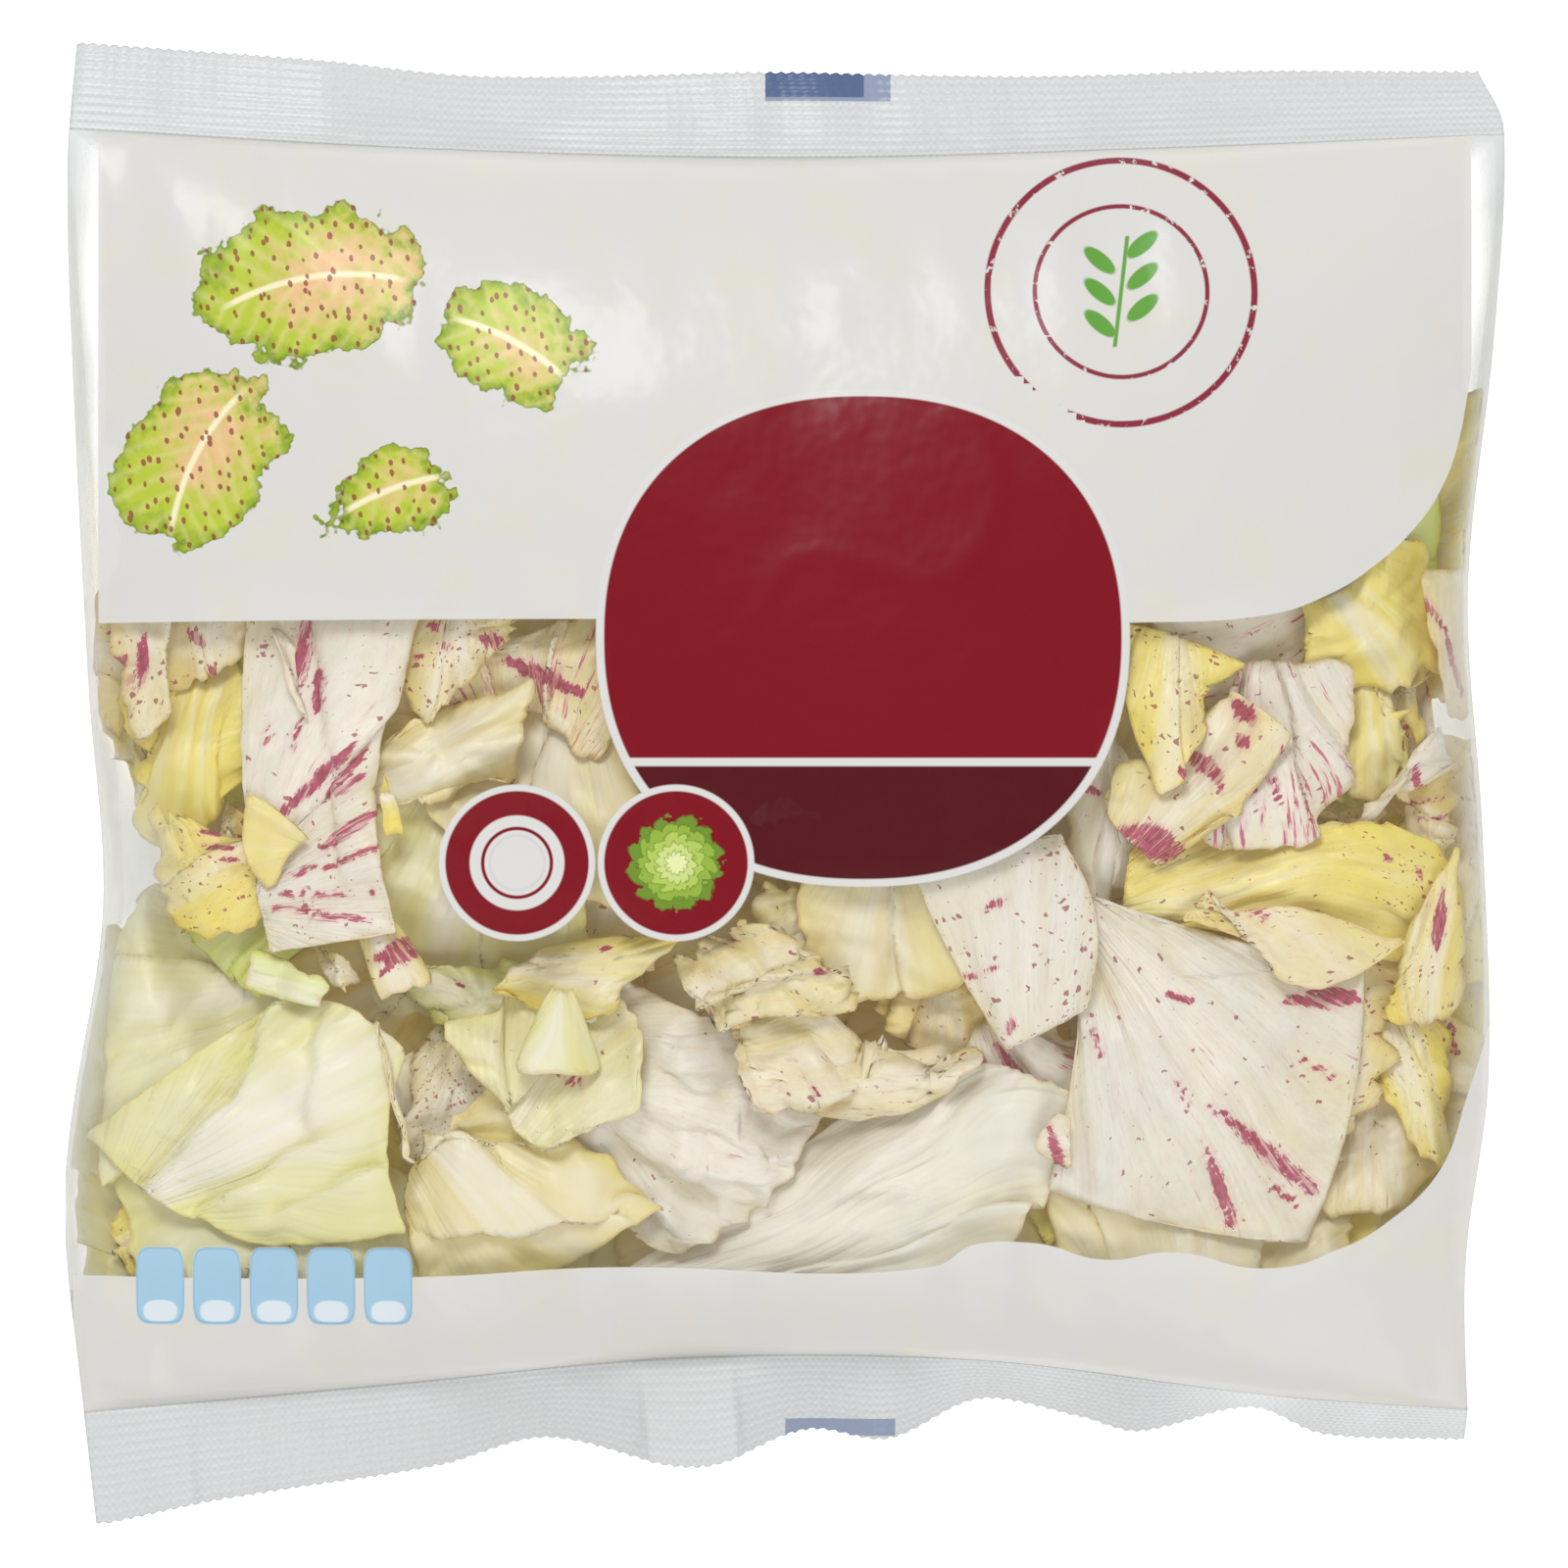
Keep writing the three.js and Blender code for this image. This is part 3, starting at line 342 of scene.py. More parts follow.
def add_colour(mesh, name, channels):
    values = np.stack([*channels, np.ones(len(channels[0]))], axis=1)
    mesh.color_attributes.new(name, "FLOAT_COLOR", "POINT").data.foreach_set(
        "color", values.astype(np.float32).ravel())


def new_piece(mesh, slot, *materials):
    """A mesh as a piece of the bag, with its materials; its colour slot is not used."""
    piece = bpy.data.objects.new(mesh.name, mesh)
    bpy.context.scene.collection.objects.link(piece)
    for material in materials:
        mesh.materials.append(material)
    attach(piece, "root")
    return piece


# ---------------------------------------------------------------- materials


def rgb(code):
    """A linear colour from a hexadecimal one."""
    parts = [int(code[k:k + 2], 16) / 255 for k in (1, 3, 5)]
    return tuple(p / 12.92 if p <= 0.04045 else ((p + 0.055) / 1.055) ** 2.4 for p in parts) + (1.0,)


class Signal:
    """A socket of a material's nodes that can be used in sums."""

    def __init__(self, graph, socket):
        self.graph, self.socket = graph, socket

    def __add__(self, other):
        return self.graph.math("ADD", self, other)

    def __sub__(self, other):
        return self.graph.math("SUBTRACT", self, other)

    def __rsub__(self, other):
        return self.graph.math("SUBTRACT", other, self)

    def __mul__(self, other):
        return self.graph.math("MULTIPLY", self, other)

    def __truediv__(self, other):
        return self.graph.math("DIVIDE", self, other)

    def __mod__(self, other):
        return self.graph.math("FLOORED_MODULO", self, other)

    def __pow__(self, other):
        return self.graph.math("POWER", self, other)

    __radd__, __rmul__ = __add__, __mul__

    def low(self, other):
        return self.graph.math("MINIMUM", self, other)

    def high(self, other):
        return self.graph.math("MAXIMUM", self, other)

    def size(self):
        return self.graph.math("ABSOLUTE", self)

    def held(self):
        return self.graph.math("ADD", self, 0.0, clamped=True)

    def step(self, soft):
        """0 where the signal is below zero and 1 above, over a soft width."""
        return self.graph.math("MULTIPLY_ADD", self, 1 / soft, 0.5, clamped=True)


class Graph:
    """A material's node tree, built from plain calls. Colours are signals or hexadecimal codes."""

    def __init__(self, name):
        self.material = bpy.data.materials.new(name)
        self.material.use_nodes = True
        self.tree = self.material.node_tree
        self.tree.nodes.clear()

    def node(self, kind, inputs=None, **settings):
        made = self.tree.nodes.new("ShaderNode" + kind)
        for key, value in settings.items():
            setattr(made, key, value)
        for key, value in (inputs or {}).items():
            if isinstance(value, Signal):
                self.tree.links.new(value.socket, made.inputs[key])
            else:
                made.inputs[key].default_value = rgb(value) if isinstance(value, str) else value
        return made

    def signal(self, made, output=0):
        return Signal(self, made.outputs[output])

    def math(self, operation, *values, clamped=False):
        made = self.node("Math", dict(enumerate(values)), operation=operation, use_clamp=clamped)
        return self.signal(made)

    def blend(self, a, b, amount):
        return self.signal(self.node("Mix", {0: amount, 6: a, 7: b}, data_type="RGBA"), 2)

    def uv(self, name):
        """Both coordinates of a UV map."""
        parts = self.node("SeparateXYZ", {0: self.signal(self.node("UVMap", uv_map=name))})
        return self.signal(parts, 0), self.signal(parts, 1)

    def place(self, x, y):
        return self.signal(self.node("CombineXYZ", {0: x, 1: y}))

    def noise(self, place, scale, detail, rough):
        made = self.node("TexNoise", {"Vector": place, "Scale": scale, "Detail": detail, "Roughness": rough},
                         noise_dimensions="2D")
        return self.signal(made, 0)

    def cells(self, place, scale):
        return self.node("TexVoronoi", {"Vector": place, "Scale": scale}, voronoi_dimensions="2D")

    def channels(self, name):
        parts = self.node("SeparateColor", {0: self.signal(self.node("Attribute", attribute_name=name))})
        return [self.signal(parts, k) for k in range(3)]

    def curve(self, x, points):
        """A smooth curve through points (x, value), as a signal."""
        (x0, x1), values = (points[0][0], points[-1][0]), [p[1] for p in points]
        low, high = min(values), max(values)
        made = self.node("FloatCurve", {1: (x - x0) / (x1 - x0)})
        line = made.mapping.curves[0]
        for px, py in points[1:-1]:
            line.points.new((px - x0) / (x1 - x0), (py - low) / (high - low))
        for point, (px, py) in zip(line.points, points):
            point.location = ((px - x0) / (x1 - x0), (py - low) / (high - low))
        made.mapping.update()
        return self.signal(made) * (high - low) + low

    def bump(self, height, distance, strength=1.0):
        made = self.node("Bump", {"Height": height, "Distance": distance, "Strength": strength})
        return self.signal(made)

    def output(self, shader):
        self.node("OutputMaterial", {0: shader})
        return self.material


TINTS = {  # body, margin, and shade between the veins
    "white": ("#dad9ce", "#dbd3ac", "#d5cdb3"),
    "cream": ("#e1d9b8", "#ded085", "#d7c592"),
    "pale": ("#dedcb7", "#dad68d", "#d5ce95"),
    "yellow": ("#e9de90", "#e3d461", "#dcc66d"),
    "green": ("#dbe19b", "#c9d76e", "#cdcd7a"),
    # The next tint is cream made warmer and darker: painted shade, the look of deep gaps put into the colour
    # of the leaves that lie there.
    "cream_in_painted_shade": ("#e6d89c", "#d8c474", "#cbb06e"),
}
RIB_WHITE, PURPLE, DEEP_PURPLE, PINK = "#e5e1d4", "#ab3560", "#8c1840", "#d2849a"
# The last of these is the warm tint of the leaves' painted glow, which stands in for light coming through
# them.
BROWN, DRIED, PAINTED_GLOW_TINT = "#8e4a35", "#c99a68", "#e9c067"


def leaf_material(tint, marked):
    """Waxy leaf: its attributes say where it is rib or margin and, if marked, streaked, speckled or inked."""
    body, margin, shade = TINTS[tint]
    g = Graph("leaf_" + tint + ("_marked" if marked else ""))
    lx, ly = g.uv("leaf")
    vx, vr = g.uv("vein")
    edge, rib, toward = g.channels("tone")
    fine = g.noise(g.place(lx, ly), 0.9, 1.0, 0.65)
    veins = g.noise(g.place(vx, vr * 0.09), 0.36, 2.0, 0.55)

    # From white rib to coloured margin, shaded between the veins; the margin's tint also fills the blade's
    # valleys as painted shade.
    colour = g.blend(body, margin, toward)
    colour = g.blend(colour, shade, ((veins - 0.46) * 3.0).held() * 0.5)
    colour = g.blend(colour, RIB_WHITE, (rib + (0.4 - veins) * 1.4).held())

    if marked:
        stroke, specks, streaks = g.channels("marks")
        lines = g.noise(g.place(vx + 40.0, vr * 0.07), 1.25, 3.0, 0.7)
        ragged = g.noise(g.place(vx, vr * 0.22), 1.5, 3.0, 0.8)

        # Fine streaks of pink and purple follow the veins.
        pale_streak = ((lines - 0.64 + streaks * 0.2) * 7).held() * (streaks * 1.6).held()
        colour = g.blend(colour, PINK, pale_streak * 0.5)
        dark_streak = (lines - 0.8 + streaks * 0.25).step(0.06) * (streaks * 3).held()
        colour = g.blend(colour, PURPLE, dark_streak * 0.85)

        # Bold strokes, ragged along the veins, have pale flecks left inside them.
        bold = (stroke - 0.5 + (ragged - 0.5) * 1.25).step(0.12)
        halo = (stroke - 0.2 + (ragged - 0.5) * 1.2).step(0.5)
        ink = g.blend(DEEP_PURPLE, PURPLE, ((fine - 0.45) * 4 + 0.5).held())
        colour = g.blend(colour, PINK, halo * 0.25)
        colour = g.blend(colour, ink, bold * (1 - (lines - 0.58).step(0.06) * 0.6) * 0.95)

        # Small brown and purple specks, a few of them larger.
        cell = g.cells(g.place(lx + fine * 1.5, ly * 0.8), 1.15)
        chance = g.node("SeparateColor", {0: g.signal(cell, "Color")})
        draw, size = g.signal(chance, 0), g.signal(chance, 1)
        dots = ((size**3 * 0.33 + 0.08) - g.signal(cell, "Distance")).step(0.1)
        dots = dots * (specks * 0.8 - draw).step(0.02)
        colour = g.blend(colour, g.blend(BROWN, DEEP_PURPLE, size), dots * 0.8)

    # Cut edges dry to a thin warm line.
    dried = (edge - 0.84 + (fine - 0.5) * 0.5).step(0.1)
    colour = g.blend(colour, DRIED, dried * 0.22)

    shader = g.node("BsdfPrincipled", {
        "Base Color": colour,
        "Roughness": (fine * 0.25 + 0.3),
        "Specular IOR Level": 0.4,
        # A faint painted glow on every leaf stands in for light that comes through the leaves from their
        # neighbours.
        "Emission Color": g.blend(colour, PAINTED_GLOW_TINT, 0.6),
        "Emission Strength": LEAF_PAINTED_GLOW,
        "Normal": g.bump(veins, VEIN_HEIGHT),
    })
    return g.output(g.signal(shader))


# ---------------------------------------------------------------- the film's print

MILKY = "#d0d3d3"  # film where it is creased or welded
BURGUNDY, DEEP, INK_WHITE, INK_WARM = "#7a0319", "#500714", "#d3d2cf", "#d6d2c2"
INK_COVER = 0.95  # how opaque the white print is
FILM_IOR, GLOSS_SHARE = 1.42, 0.22  # of the reflection that this index gives, what is kept
FILM_ROUGHNESS, GLOSS_ROUGHNESS = 0.35, 0.16
CRINKLE_SCALE, CRINKLE_HEIGHT, CRINKLE_STRENGTH = 0.12, 0.0008, 0.2  # its height in metres
UPPER_EDGE = [(-125, 27.2), (-32, 27.8), (59, 27.2), (82, 28.6), (92, 32), (100, 37), (107, 43.5),
              (112, 51), (115, 60), (117, 72), (125, 110)]
LOWER_EDGE = [(-125, -83.3), (-59, -83.3), (-33, -81.8), (25, -81.7), (33, -77.7), (42, -77.6),
              (55, -80.5), (65, -79.2), (82, -82), (93, -79.2), (104, -73), (111, -66), (116, -53),
              (125, -25)]
PRINT_LEFT, PRINT_RIGHT, LOWER_LEFT = -116.5, 116.8, -121
PANEL = {"x": 13.3, "y": 24.7, "half": (45, 42), "keyline": 1.3, "rule_y": 3.7, "rule": 0.7}
DISCS = [(-45, -13.3, 13.2), (-18.2, -13.3, 13.2)]
STAMP = {"x": 57, "y": 83.3, "outer": 22.6, "inner": 14.6, "line": 1.1}
PLATE = (5.2, 7.4, 8.6)  # its edge and its two fine rings, in from the disc's own edge
ROSETTE = ((7.4, "#6c8c2e"), (6.0, "#8fae40"), (4.5, "#adc45c"), (3.0, "#c6d484"), (1.6, "#dde4a8"))
DRAWN_LEAVES = [(-99, 55, 16, 12.5, 1.1), (-80, 85, 18.5, 13, 0.15),  # place, half sizes and turn
                (-46, 74, 12.5, 9.5, -0.5), (-66, 49, 11, 8, 0.35)]
TILES = {"x": -105.8, "pitch": 9.7, "count": 5, "half": (4.1, 6.6), "y": -85}
BACK_BANDS = (58.0, 116.0, -86.0)  # the upper one's foot and half width, and the lower one's top
BACK_PANEL = (62, -4, 40, 52)
REGISTER_TOP, REGISTER_BOTTOM = (7.5, 118.9, 10.7, 2.6), (9.6, -109.8, 9.4, 1.5)  # middle and half sizes
ZONE_ROOM = 3.0  # how far round a print its material reaches

LEAF_GREEN, LEAF_LIME, LEAF_PEACH, LEAF_VEIN = "#7d9a24", "#b3c23f", "#e2b98a", "#e6d79a"
LEAF_RIB, LEAF_RIM, LEAF_FLECK = "#f0e6bf", "#5f7416", "#86292f"
RING_RED, SPRIG_GREEN, PLATE_GREY, ROSETTE_RIM = "#86263b", "#5f9c3c", "#c9c9c8", "#54701f"
TILE_BLUE, TILE_LIGHT, TILE_RIM = "#9fc3da", "#d6e0e6", "#86b2cf"
STEEL, DARK_STEEL = "#8f99b0", "#55688c"


def print_zone(x, y):
    """Which of the front's materials covers a place, by its number in FRONT."""
    def oval(cx, cy, rx, ry):
        return ((x - cx) / (rx + ZONE_ROOM)) ** 2 + ((y - cy) / (ry + ZONE_ROOM)) ** 2 < 1.25

    lower = y < np.interp(x, *zip(*LOWER_EDGE)) + ZONE_ROOM
    lower |= (np.abs(y - TILES["y"]) < TILES["half"][1] + ZONE_ROOM) & (x < TILES["x"] + 50)
    zone = np.where(lower, 4, np.where(y > np.interp(x, *zip(*UPPER_EDGE)) - ZONE_ROOM, 0, 5))
    for cx, cy, rx, ry, _ in DRAWN_LEAVES:
        zone[np.hypot(x - cx, y - cy) < 1.15 * max(rx, ry) + ZONE_ROOM] = 1
    zone[np.hypot(x - STAMP["x"], y - STAMP["y"]) < STAMP["outer"] + ZONE_ROOM] = 2
    zone[oval(PANEL["x"], PANEL["y"], *PANEL["half"])] = 3
    for cx, cy, r in DISCS:
        zone[oval(cx, cy, r, r)] = 3
    return zone


def ellipse(g, x, y, cx, cy, rx, ry, power=2.0):
    """How far inside a rounded outline a place lies, in millimetres, below zero outside."""
    dx, dy = ((x - cx) / rx).size(), ((y - cy) / ry).size()
    return (1 - (dx**power + dy**power) ** (1 / power)) * min(rx, ry)


def turned(x, y, cx, cy, angle):
    c, s = math.cos(angle), math.sin(angle)
    return (x - cx) * c + (y - cy) * s, (y - cy) * c - (x - cx) * s


def paint_white(g, x, y):
    """The front's white ground: colour, and how opaque the print is, at a place."""
    upper = (y - g.curve(x, UPPER_EDGE)).step(0.25)
    upper = upper * (PRINT_RIGHT - x).step(0.25) * (x - PRINT_LEFT).step(0.3)
    lower = (g.curve(x, LOWER_EDGE) - y).step(0.25) * (x - LOWER_LEFT).step(0.3)
    cloud = g.noise(g.place(x, y), 0.06, 2.0, 0.6)
    colour = g.blend(INK_WHITE, INK_WARM, ((cloud - 0.5) * 5).held() * 0.5)
    return colour, upper.high(lower) * INK_COVER


def paint_leaves(g, x, y):
    """Printed leaves of no particular kind: lobed green ovals, peach in the middle, with ribs and flecks."""
    colour, solid = paint_white(g, x, y)
    lobes = g.noise(g.place(x, y), 0.13, 3.0, 0.6) - 0.5
    mottle = g.noise(g.place(x, y), 0.5, 3.0, 0.6)
    cell = g.cells(g.place(x, y * 0.7 + x * 0.2), 0.42)
    flecks = (mottle * 0.3 - g.signal(cell, "Distance")).step(0.06) * 0.8
    for cx, cy, rx, ry, angle in DRAWN_LEAVES:
        px, py = turned(x, y, cx, cy, angle)
        inside = ellipse(g, px, py, 0, 0, rx, ry, 2.3) + lobes * 11
        offset = py + px * px * 0.012 - 0.8
        veins = (0.16 - ((px * 0.24 + offset.size() * 0.22 + lobes * 0.8) % 1.0 - 0.5).size()).step(0.3)
        tint = g.blend(LEAF_GREEN, LEAF_LIME, (inside * 0.3 + mottle - 0.5).held())
        tint = g.blend(tint, LEAF_PEACH, (inside * 0.13 + (mottle - 0.5) * 1.6 + px * 0.04 - 0.45).held())
        tint = g.blend(tint, LEAF_VEIN, veins * 0.3)
        tint = g.blend(tint, LEAF_RIB, (0.5 - offset.size()).step(0.5) * (rx * 0.8 - px.size()).step(3.0))
        tint = g.blend(tint, LEAF_RIM, (0.35 - inside).step(0.5) * 0.6)
        tint = g.blend(tint, LEAF_FLECK, flecks)
        colour, solid = g.blend(colour, tint, inside.step(0.3)), solid.high(inside.step(0.3) * 0.97)
    return colour, solid


def paint_stamp(g, x, y):
    """Two worn rings round a green sprig."""
    colour, solid = paint_white(g, x, y)
    sx, sy = x - STAMP["x"], y - STAMP["y"]
    radius = (sx * sx + sy * sy) ** 0.5
    worn = (g.noise(g.place(x, y), 0.5, 3.0, 0.7) - 0.36).step(0.08)
    line = STAMP["line"] / 2
    rings = (line - (radius - STAMP["outer"]).size()).step(0.25).high(
        (line * 0.7 - (radius - STAMP["inner"]).size()).step(0.25))
    colour = g.blend(colour, RING_RED, rings * worn)
    sprig = (0.35 - (sx - sy * 0.12).size()).step(0.25) * (9.5 - sy.size()).step(0.3)
    for k, side in enumerate((-1, 1, -1, 1, -1, 1)):
        px, py = turned(sx, sy, side * 3.6, -5.5 + 2.7 * k, side * 0.7)
        sprig = sprig.high(ellipse(g, px, py, 0, 0, 3.3, 1.35).step(0.25))
    return g.blend(colour, SPRIG_GREEN, sprig), solid


def paint_panel(g, x, y):
    """The burgundy panel with its keyline, rule and deeper foot, and the discs with a plate and a rosette."""
    colour, solid = paint_white(g, x, y)
    inside = ellipse(g, x, y, PANEL["x"], PANEL["y"], *PANEL["half"], 2.25)
    body = g.blend(BURGUNDY, DEEP, (PANEL["rule_y"] - y).step(0.3))
    body = g.blend(body, INK_WHITE, (PANEL["rule"] - (y - PANEL["rule_y"]).size()).step(0.3))
    colour = g.blend(colour, INK_WHITE, inside.step(0.3))
    colour = g.blend(colour, body, (inside - PANEL["keyline"]).step(0.3))
    solid = solid.high(inside.step(0.3) * 0.985)
    frill = g.noise(g.place(x, y), 0.4, 2.0, 0.6) - 0.5
    for k, (cx, cy, r) in enumerate(DISCS):
        inside = ellipse(g, x, y, cx, cy, r, r)
        colour = g.blend(colour, INK_WHITE, inside.step(0.3))
        colour = g.blend(colour, BURGUNDY, (inside - 1.1).step(0.3))
        if k == 0:  # a plate seen from above
            colour = g.blend(colour, INK_WHITE, (inside - PLATE[0]).step(0.3))
            colour = g.blend(colour, BURGUNDY, (0.3 - (inside - PLATE[1]).size()).step(0.25))
            colour = g.blend(colour, PLATE_GREY, (0.2 - (inside - PLATE[2]).size()).step(0.3))
        else:  # a small green rosette
            around = g.math("ARCTAN2", y - cy, x - cx)
            for m, (reach, tint) in enumerate(ROSETTE):
                wave = g.math("SINE", around * (6.0 + m % 2) + 1.7 * m + frill * 5)
                petal = inside - r + reach + (wave.size() * 1.3 + frill * 2.5 - 0.6) * (1 - 0.14 * m)
                colour = g.blend(colour, ROSETTE_RIM, (petal + 0.25).step(0.3) * 0.6)
                colour = g.blend(colour, tint, petal.step(0.3))
        solid = solid.high(inside.step(0.3) * 0.985)
    return colour, solid


def paint_tiles(g, x, y):
    """A row of plain pale blue tiles across the edge of the lower white band."""
    colour, solid = paint_white(g, x, y)
    column = (x - TILES["x"]) / TILES["pitch"]
    nearest = g.math("ROUND", column.high(0.0).low(TILES["count"] - 1.0))
    dx = x - TILES["x"] - nearest * TILES["pitch"]
    tile = ellipse(g, dx, y, 0, TILES["y"], *TILES["half"], 5)
    blue = g.blend(TILE_BLUE, TILE_LIGHT, ellipse(g, dx, y, 0, TILES["y"] - 4.4, 2.9, 1.9, 2.5).step(0.3))
    colour = g.blend(colour, TILE_RIM, tile.step(0.25))
    colour = g.blend(colour, blue, (tile - 0.25).step(0.25))
    return colour, solid.high(tile.step(0.25) * 0.96)


def paint_back(g, x, y):
    """White bands at both ends, and a bare white panel beside the lap."""
    upper = (y - BACK_BANDS[0]).step(0.3) * (BACK_BANDS[1] - x.size()).step(0.3)
    lower = (BACK_BANDS[2] - y).step(0.3)
    panel = ellipse(g, x, y, *BACK_PANEL, 9).step(0.3)
    return INK_WHITE, upper.high(lower).high(panel) * INK_COVER


def paint_crimp(g, x, y):
    """Two steel-blue register marks on bare milky film."""
    top, bottom = ((half_x - (x - cx).size()).step(0.15) * (half_y - (y - cy).size()).step(0.15)
                   for cx, cy, half_x, half_y in (REGISTER_TOP, REGISTER_BOTTOM))
    dark = (13.6 - x).step(0.15) * (y - 117.0).step(0.15)
    colour = g.blend(MILKY, STEEL, top.high(bottom))
    colour = g.blend(colour, DARK_STEEL, top * dark)
    return colour, top.high(bottom) * 0.95


def film_material(name, paint, clear, milky, crinkled=False, knurled=False):
    """Clear glossy film, milky where it is folded or welded, and whiter where it turns away at the bag's
    sides as a painted reflection, under whatever paint prints on it.
    """
    g = Graph(name)
    x, y = g.uv("plan")
    milk_and_sheen, crease, _ = g.channels("milk_and_sheen")
    veil = milk_and_sheen * (milky - clear) + crease * 0.1 + clear
    if knurled:
        knurl = [g.math("SINE", at * (2 * math.pi / pitch)) for at, pitch in zip((x, y), KNURL_PITCH)]
        veil = veil + knurl[0] * knurl[1] * 0.07
    colour, alpha = MILKY, veil.held()
    if paint:
        colour, solid = paint(g, x, y)
        colour = g.blend(MILKY, colour, (solid * 1.2).held())
        alpha = alpha.high(solid)
    # The print is finely crinkled. Clear film has its wrinkles in its mesh alone.
    relief = {}
    if crinkled:
        crinkle = g.noise(g.place(x, y), CRINKLE_SCALE, 2.0, 0.6)
        relief["Normal"] = g.bump(crinkle, CRINKLE_HEIGHT, CRINKLE_STRENGTH)
    body = g.node("BsdfPrincipled", {"Base Color": colour, "Roughness": FILM_ROUGHNESS,
                                     "Specular IOR Level": 0.1, "Alpha": alpha, **relief})
    gloss = g.node("BsdfGlossy", {"Color": (1, 1, 1, 1), "Roughness": GLOSS_ROUGHNESS, **relief})
    share = g.signal(g.node("Fresnel", {"IOR": FILM_IOR, **relief})) * GLOSS_SHARE
    return g.output(g.signal(g.node("MixShader", {0: share, 1: g.signal(body), 2: g.signal(gloss)})))


# The front's materials, by print_zone's number.
FRONT = [("film_white", paint_white), ("film_leaves", paint_leaves), ("film_stamp", paint_stamp),
         ("film_panel", paint_panel), ("film_tiles", paint_tiles), ("film_clear", None)]

# ---------------------------------------------------------------- film pieces


def within_box(x):
    """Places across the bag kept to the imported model's own width."""
    return clamp(x, cad_box[0][0] / MM, cad_box[1][0] / MM)


def mark_film(mesh, x, y, milk_and_sheen, crease):
    """Gives a film mesh its place in the bag's plan, and how milky and how creased it is there; at the
    pillow's sides the milkiness is partly a painted reflection.
    """
    add_uv(mesh, "plan", twice(x), twice(y))
    add_colour(mesh, "milk_and_sheen", [twice(milk_and_sheen), twice(crease), twice(np.zeros(x.shape))])


def film_pillow():
    """The front and back film as one closed skin, joined along the folded sides and the two seals."""
    def finer_at_ends(cells):
        even = np.linspace(-1, 1, cells + 1)
        return 0.45 * even + 0.55 * np.sin(even * math.pi / 2)

    u, v = np.meshgrid(*map(finer_at_ends, FILM_CELLS), indexing="ij")
    x, y = plan_at(u, v)
    x = within_box(x)
    side, end = (1 - np.abs(u)) * HALF_WIDTH, (1 - np.abs(v)) * HALF_LENGTH
    joining = smooth(np.minimum(side, end) / SEAM_REACH)
    edge = edge_height(x, y)
    front = mix(edge + SEAM, front_film(x, y), joining)
    sag = 0.25 * film_noise.layered(x / 15, y / 14)
    back = mix(edge - SEAM, np.maximum(back_height(x, y) + FILM_INSET + sag, LEAST_LIFT), joining)
    back = np.minimum(back, front - LEAST_GAP)
    mesh, faces = closed_skin("film_pillow", np.dstack([x, y, front]), np.dstack([x, y, back]))

    # The front and the rim take the material of their place, and the back its own.
    centre_x, centre_y = (np.tile(p.ravel(), 2)[np.concatenate(faces)].mean(axis=1) for p in (x, y))
    printed = np.concatenate([np.full(len(f), k) for f, k in zip(faces, (0, len(FRONT), 0))])
    printed = np.where(printed == 0, print_zone(centre_x, centre_y), printed)
    mesh.polygons.foreach_set("material_index", printed.astype(np.int32))

    # The sides, where the film folds and turns away, are made milkier: partly the double layer there, partly
    # a painted reflection of film seen edge-on.
    wing = smooth(1 - side / (6.0 + 2.5 * pucker_noise(y / 14, x * 0)))
    for slack_x, slack_y, reach in SLACK:
        wing = np.maximum(wing, 0.75 * smooth(1.6 - np.hypot(x - slack_x, (y - slack_y) * 0.8) / reach))
    seal = smooth(1 - end / 5.0) * 0.9
    crease = clamp(np.abs(wrinkles(x, y)) - 0.3) * np.exp(-side / 25)
    mark_film(mesh, x, y, np.maximum(wing, seal), crease)
    return mesh


def crimp_strip(name, outwards):
    """One welded end of the bag: a thin ribbed strip that droops towards the table, cut with a zigzag."""
    line, end, width = bottom_line, bottom_end, BOTTOM_CRIMP
    if outwards > 0:
        line, end, width = top_line, top_end, TOP_CRIMP
    u, s = net((-1, 1), (0, 1), CRIMP_CELLS)
    x0 = plan_at(u, np.full_like(u, outwards))[0]
    inner, outer = line(x0), end(x0)
    zigzag = SERRATION * np.abs((x0 / SERRATION_PITCH) % 1 * 2 - 1)
    reach = np.abs(outer - inner)
    y = inner + (outer - inner) * s * (1 - zigzag / reach)
    x = within_box(mix(left_edge(y), right_edge(y), (u + 1) / 2))
    droop = np.minimum(np.sqrt(np.maximum(0, width**2 - reach**2)), SIDE_RISE + END_RISE - CRIMP_FLOOR)
    wave = crease_noise(x / 16, y / 40 + 5) * 0.9 + pucker_noise(x / 7, y / 30) * 0.35
    rib = np.sin(s * width / CRIMP_RIB_PITCH * 2 * math.pi)
    middle = SIDE_RISE + END_RISE - droop * s + CRIMP_RIB * rib + wave * smooth(s * 2.0) * 0.8
    thick = mix(SEAM, CRIMP_THICKNESS / 2, smooth(s * 8))
    skins = (np.dstack([x, y, middle + side * thick]) for side in (1, -1))
    mesh, _ = closed_skin(name, *skins, flip=outwards < 0)
    rib_share = 0.5 + 0.5 * rib
    milk_and_sheen = 0.55 + 0.35 * rib_share + 0.25 * crease_noise(x / 9, y / 5)
    mark_film(mesh, x, y, clamp(milk_and_sheen), clamp(rib_share))
    return mesh


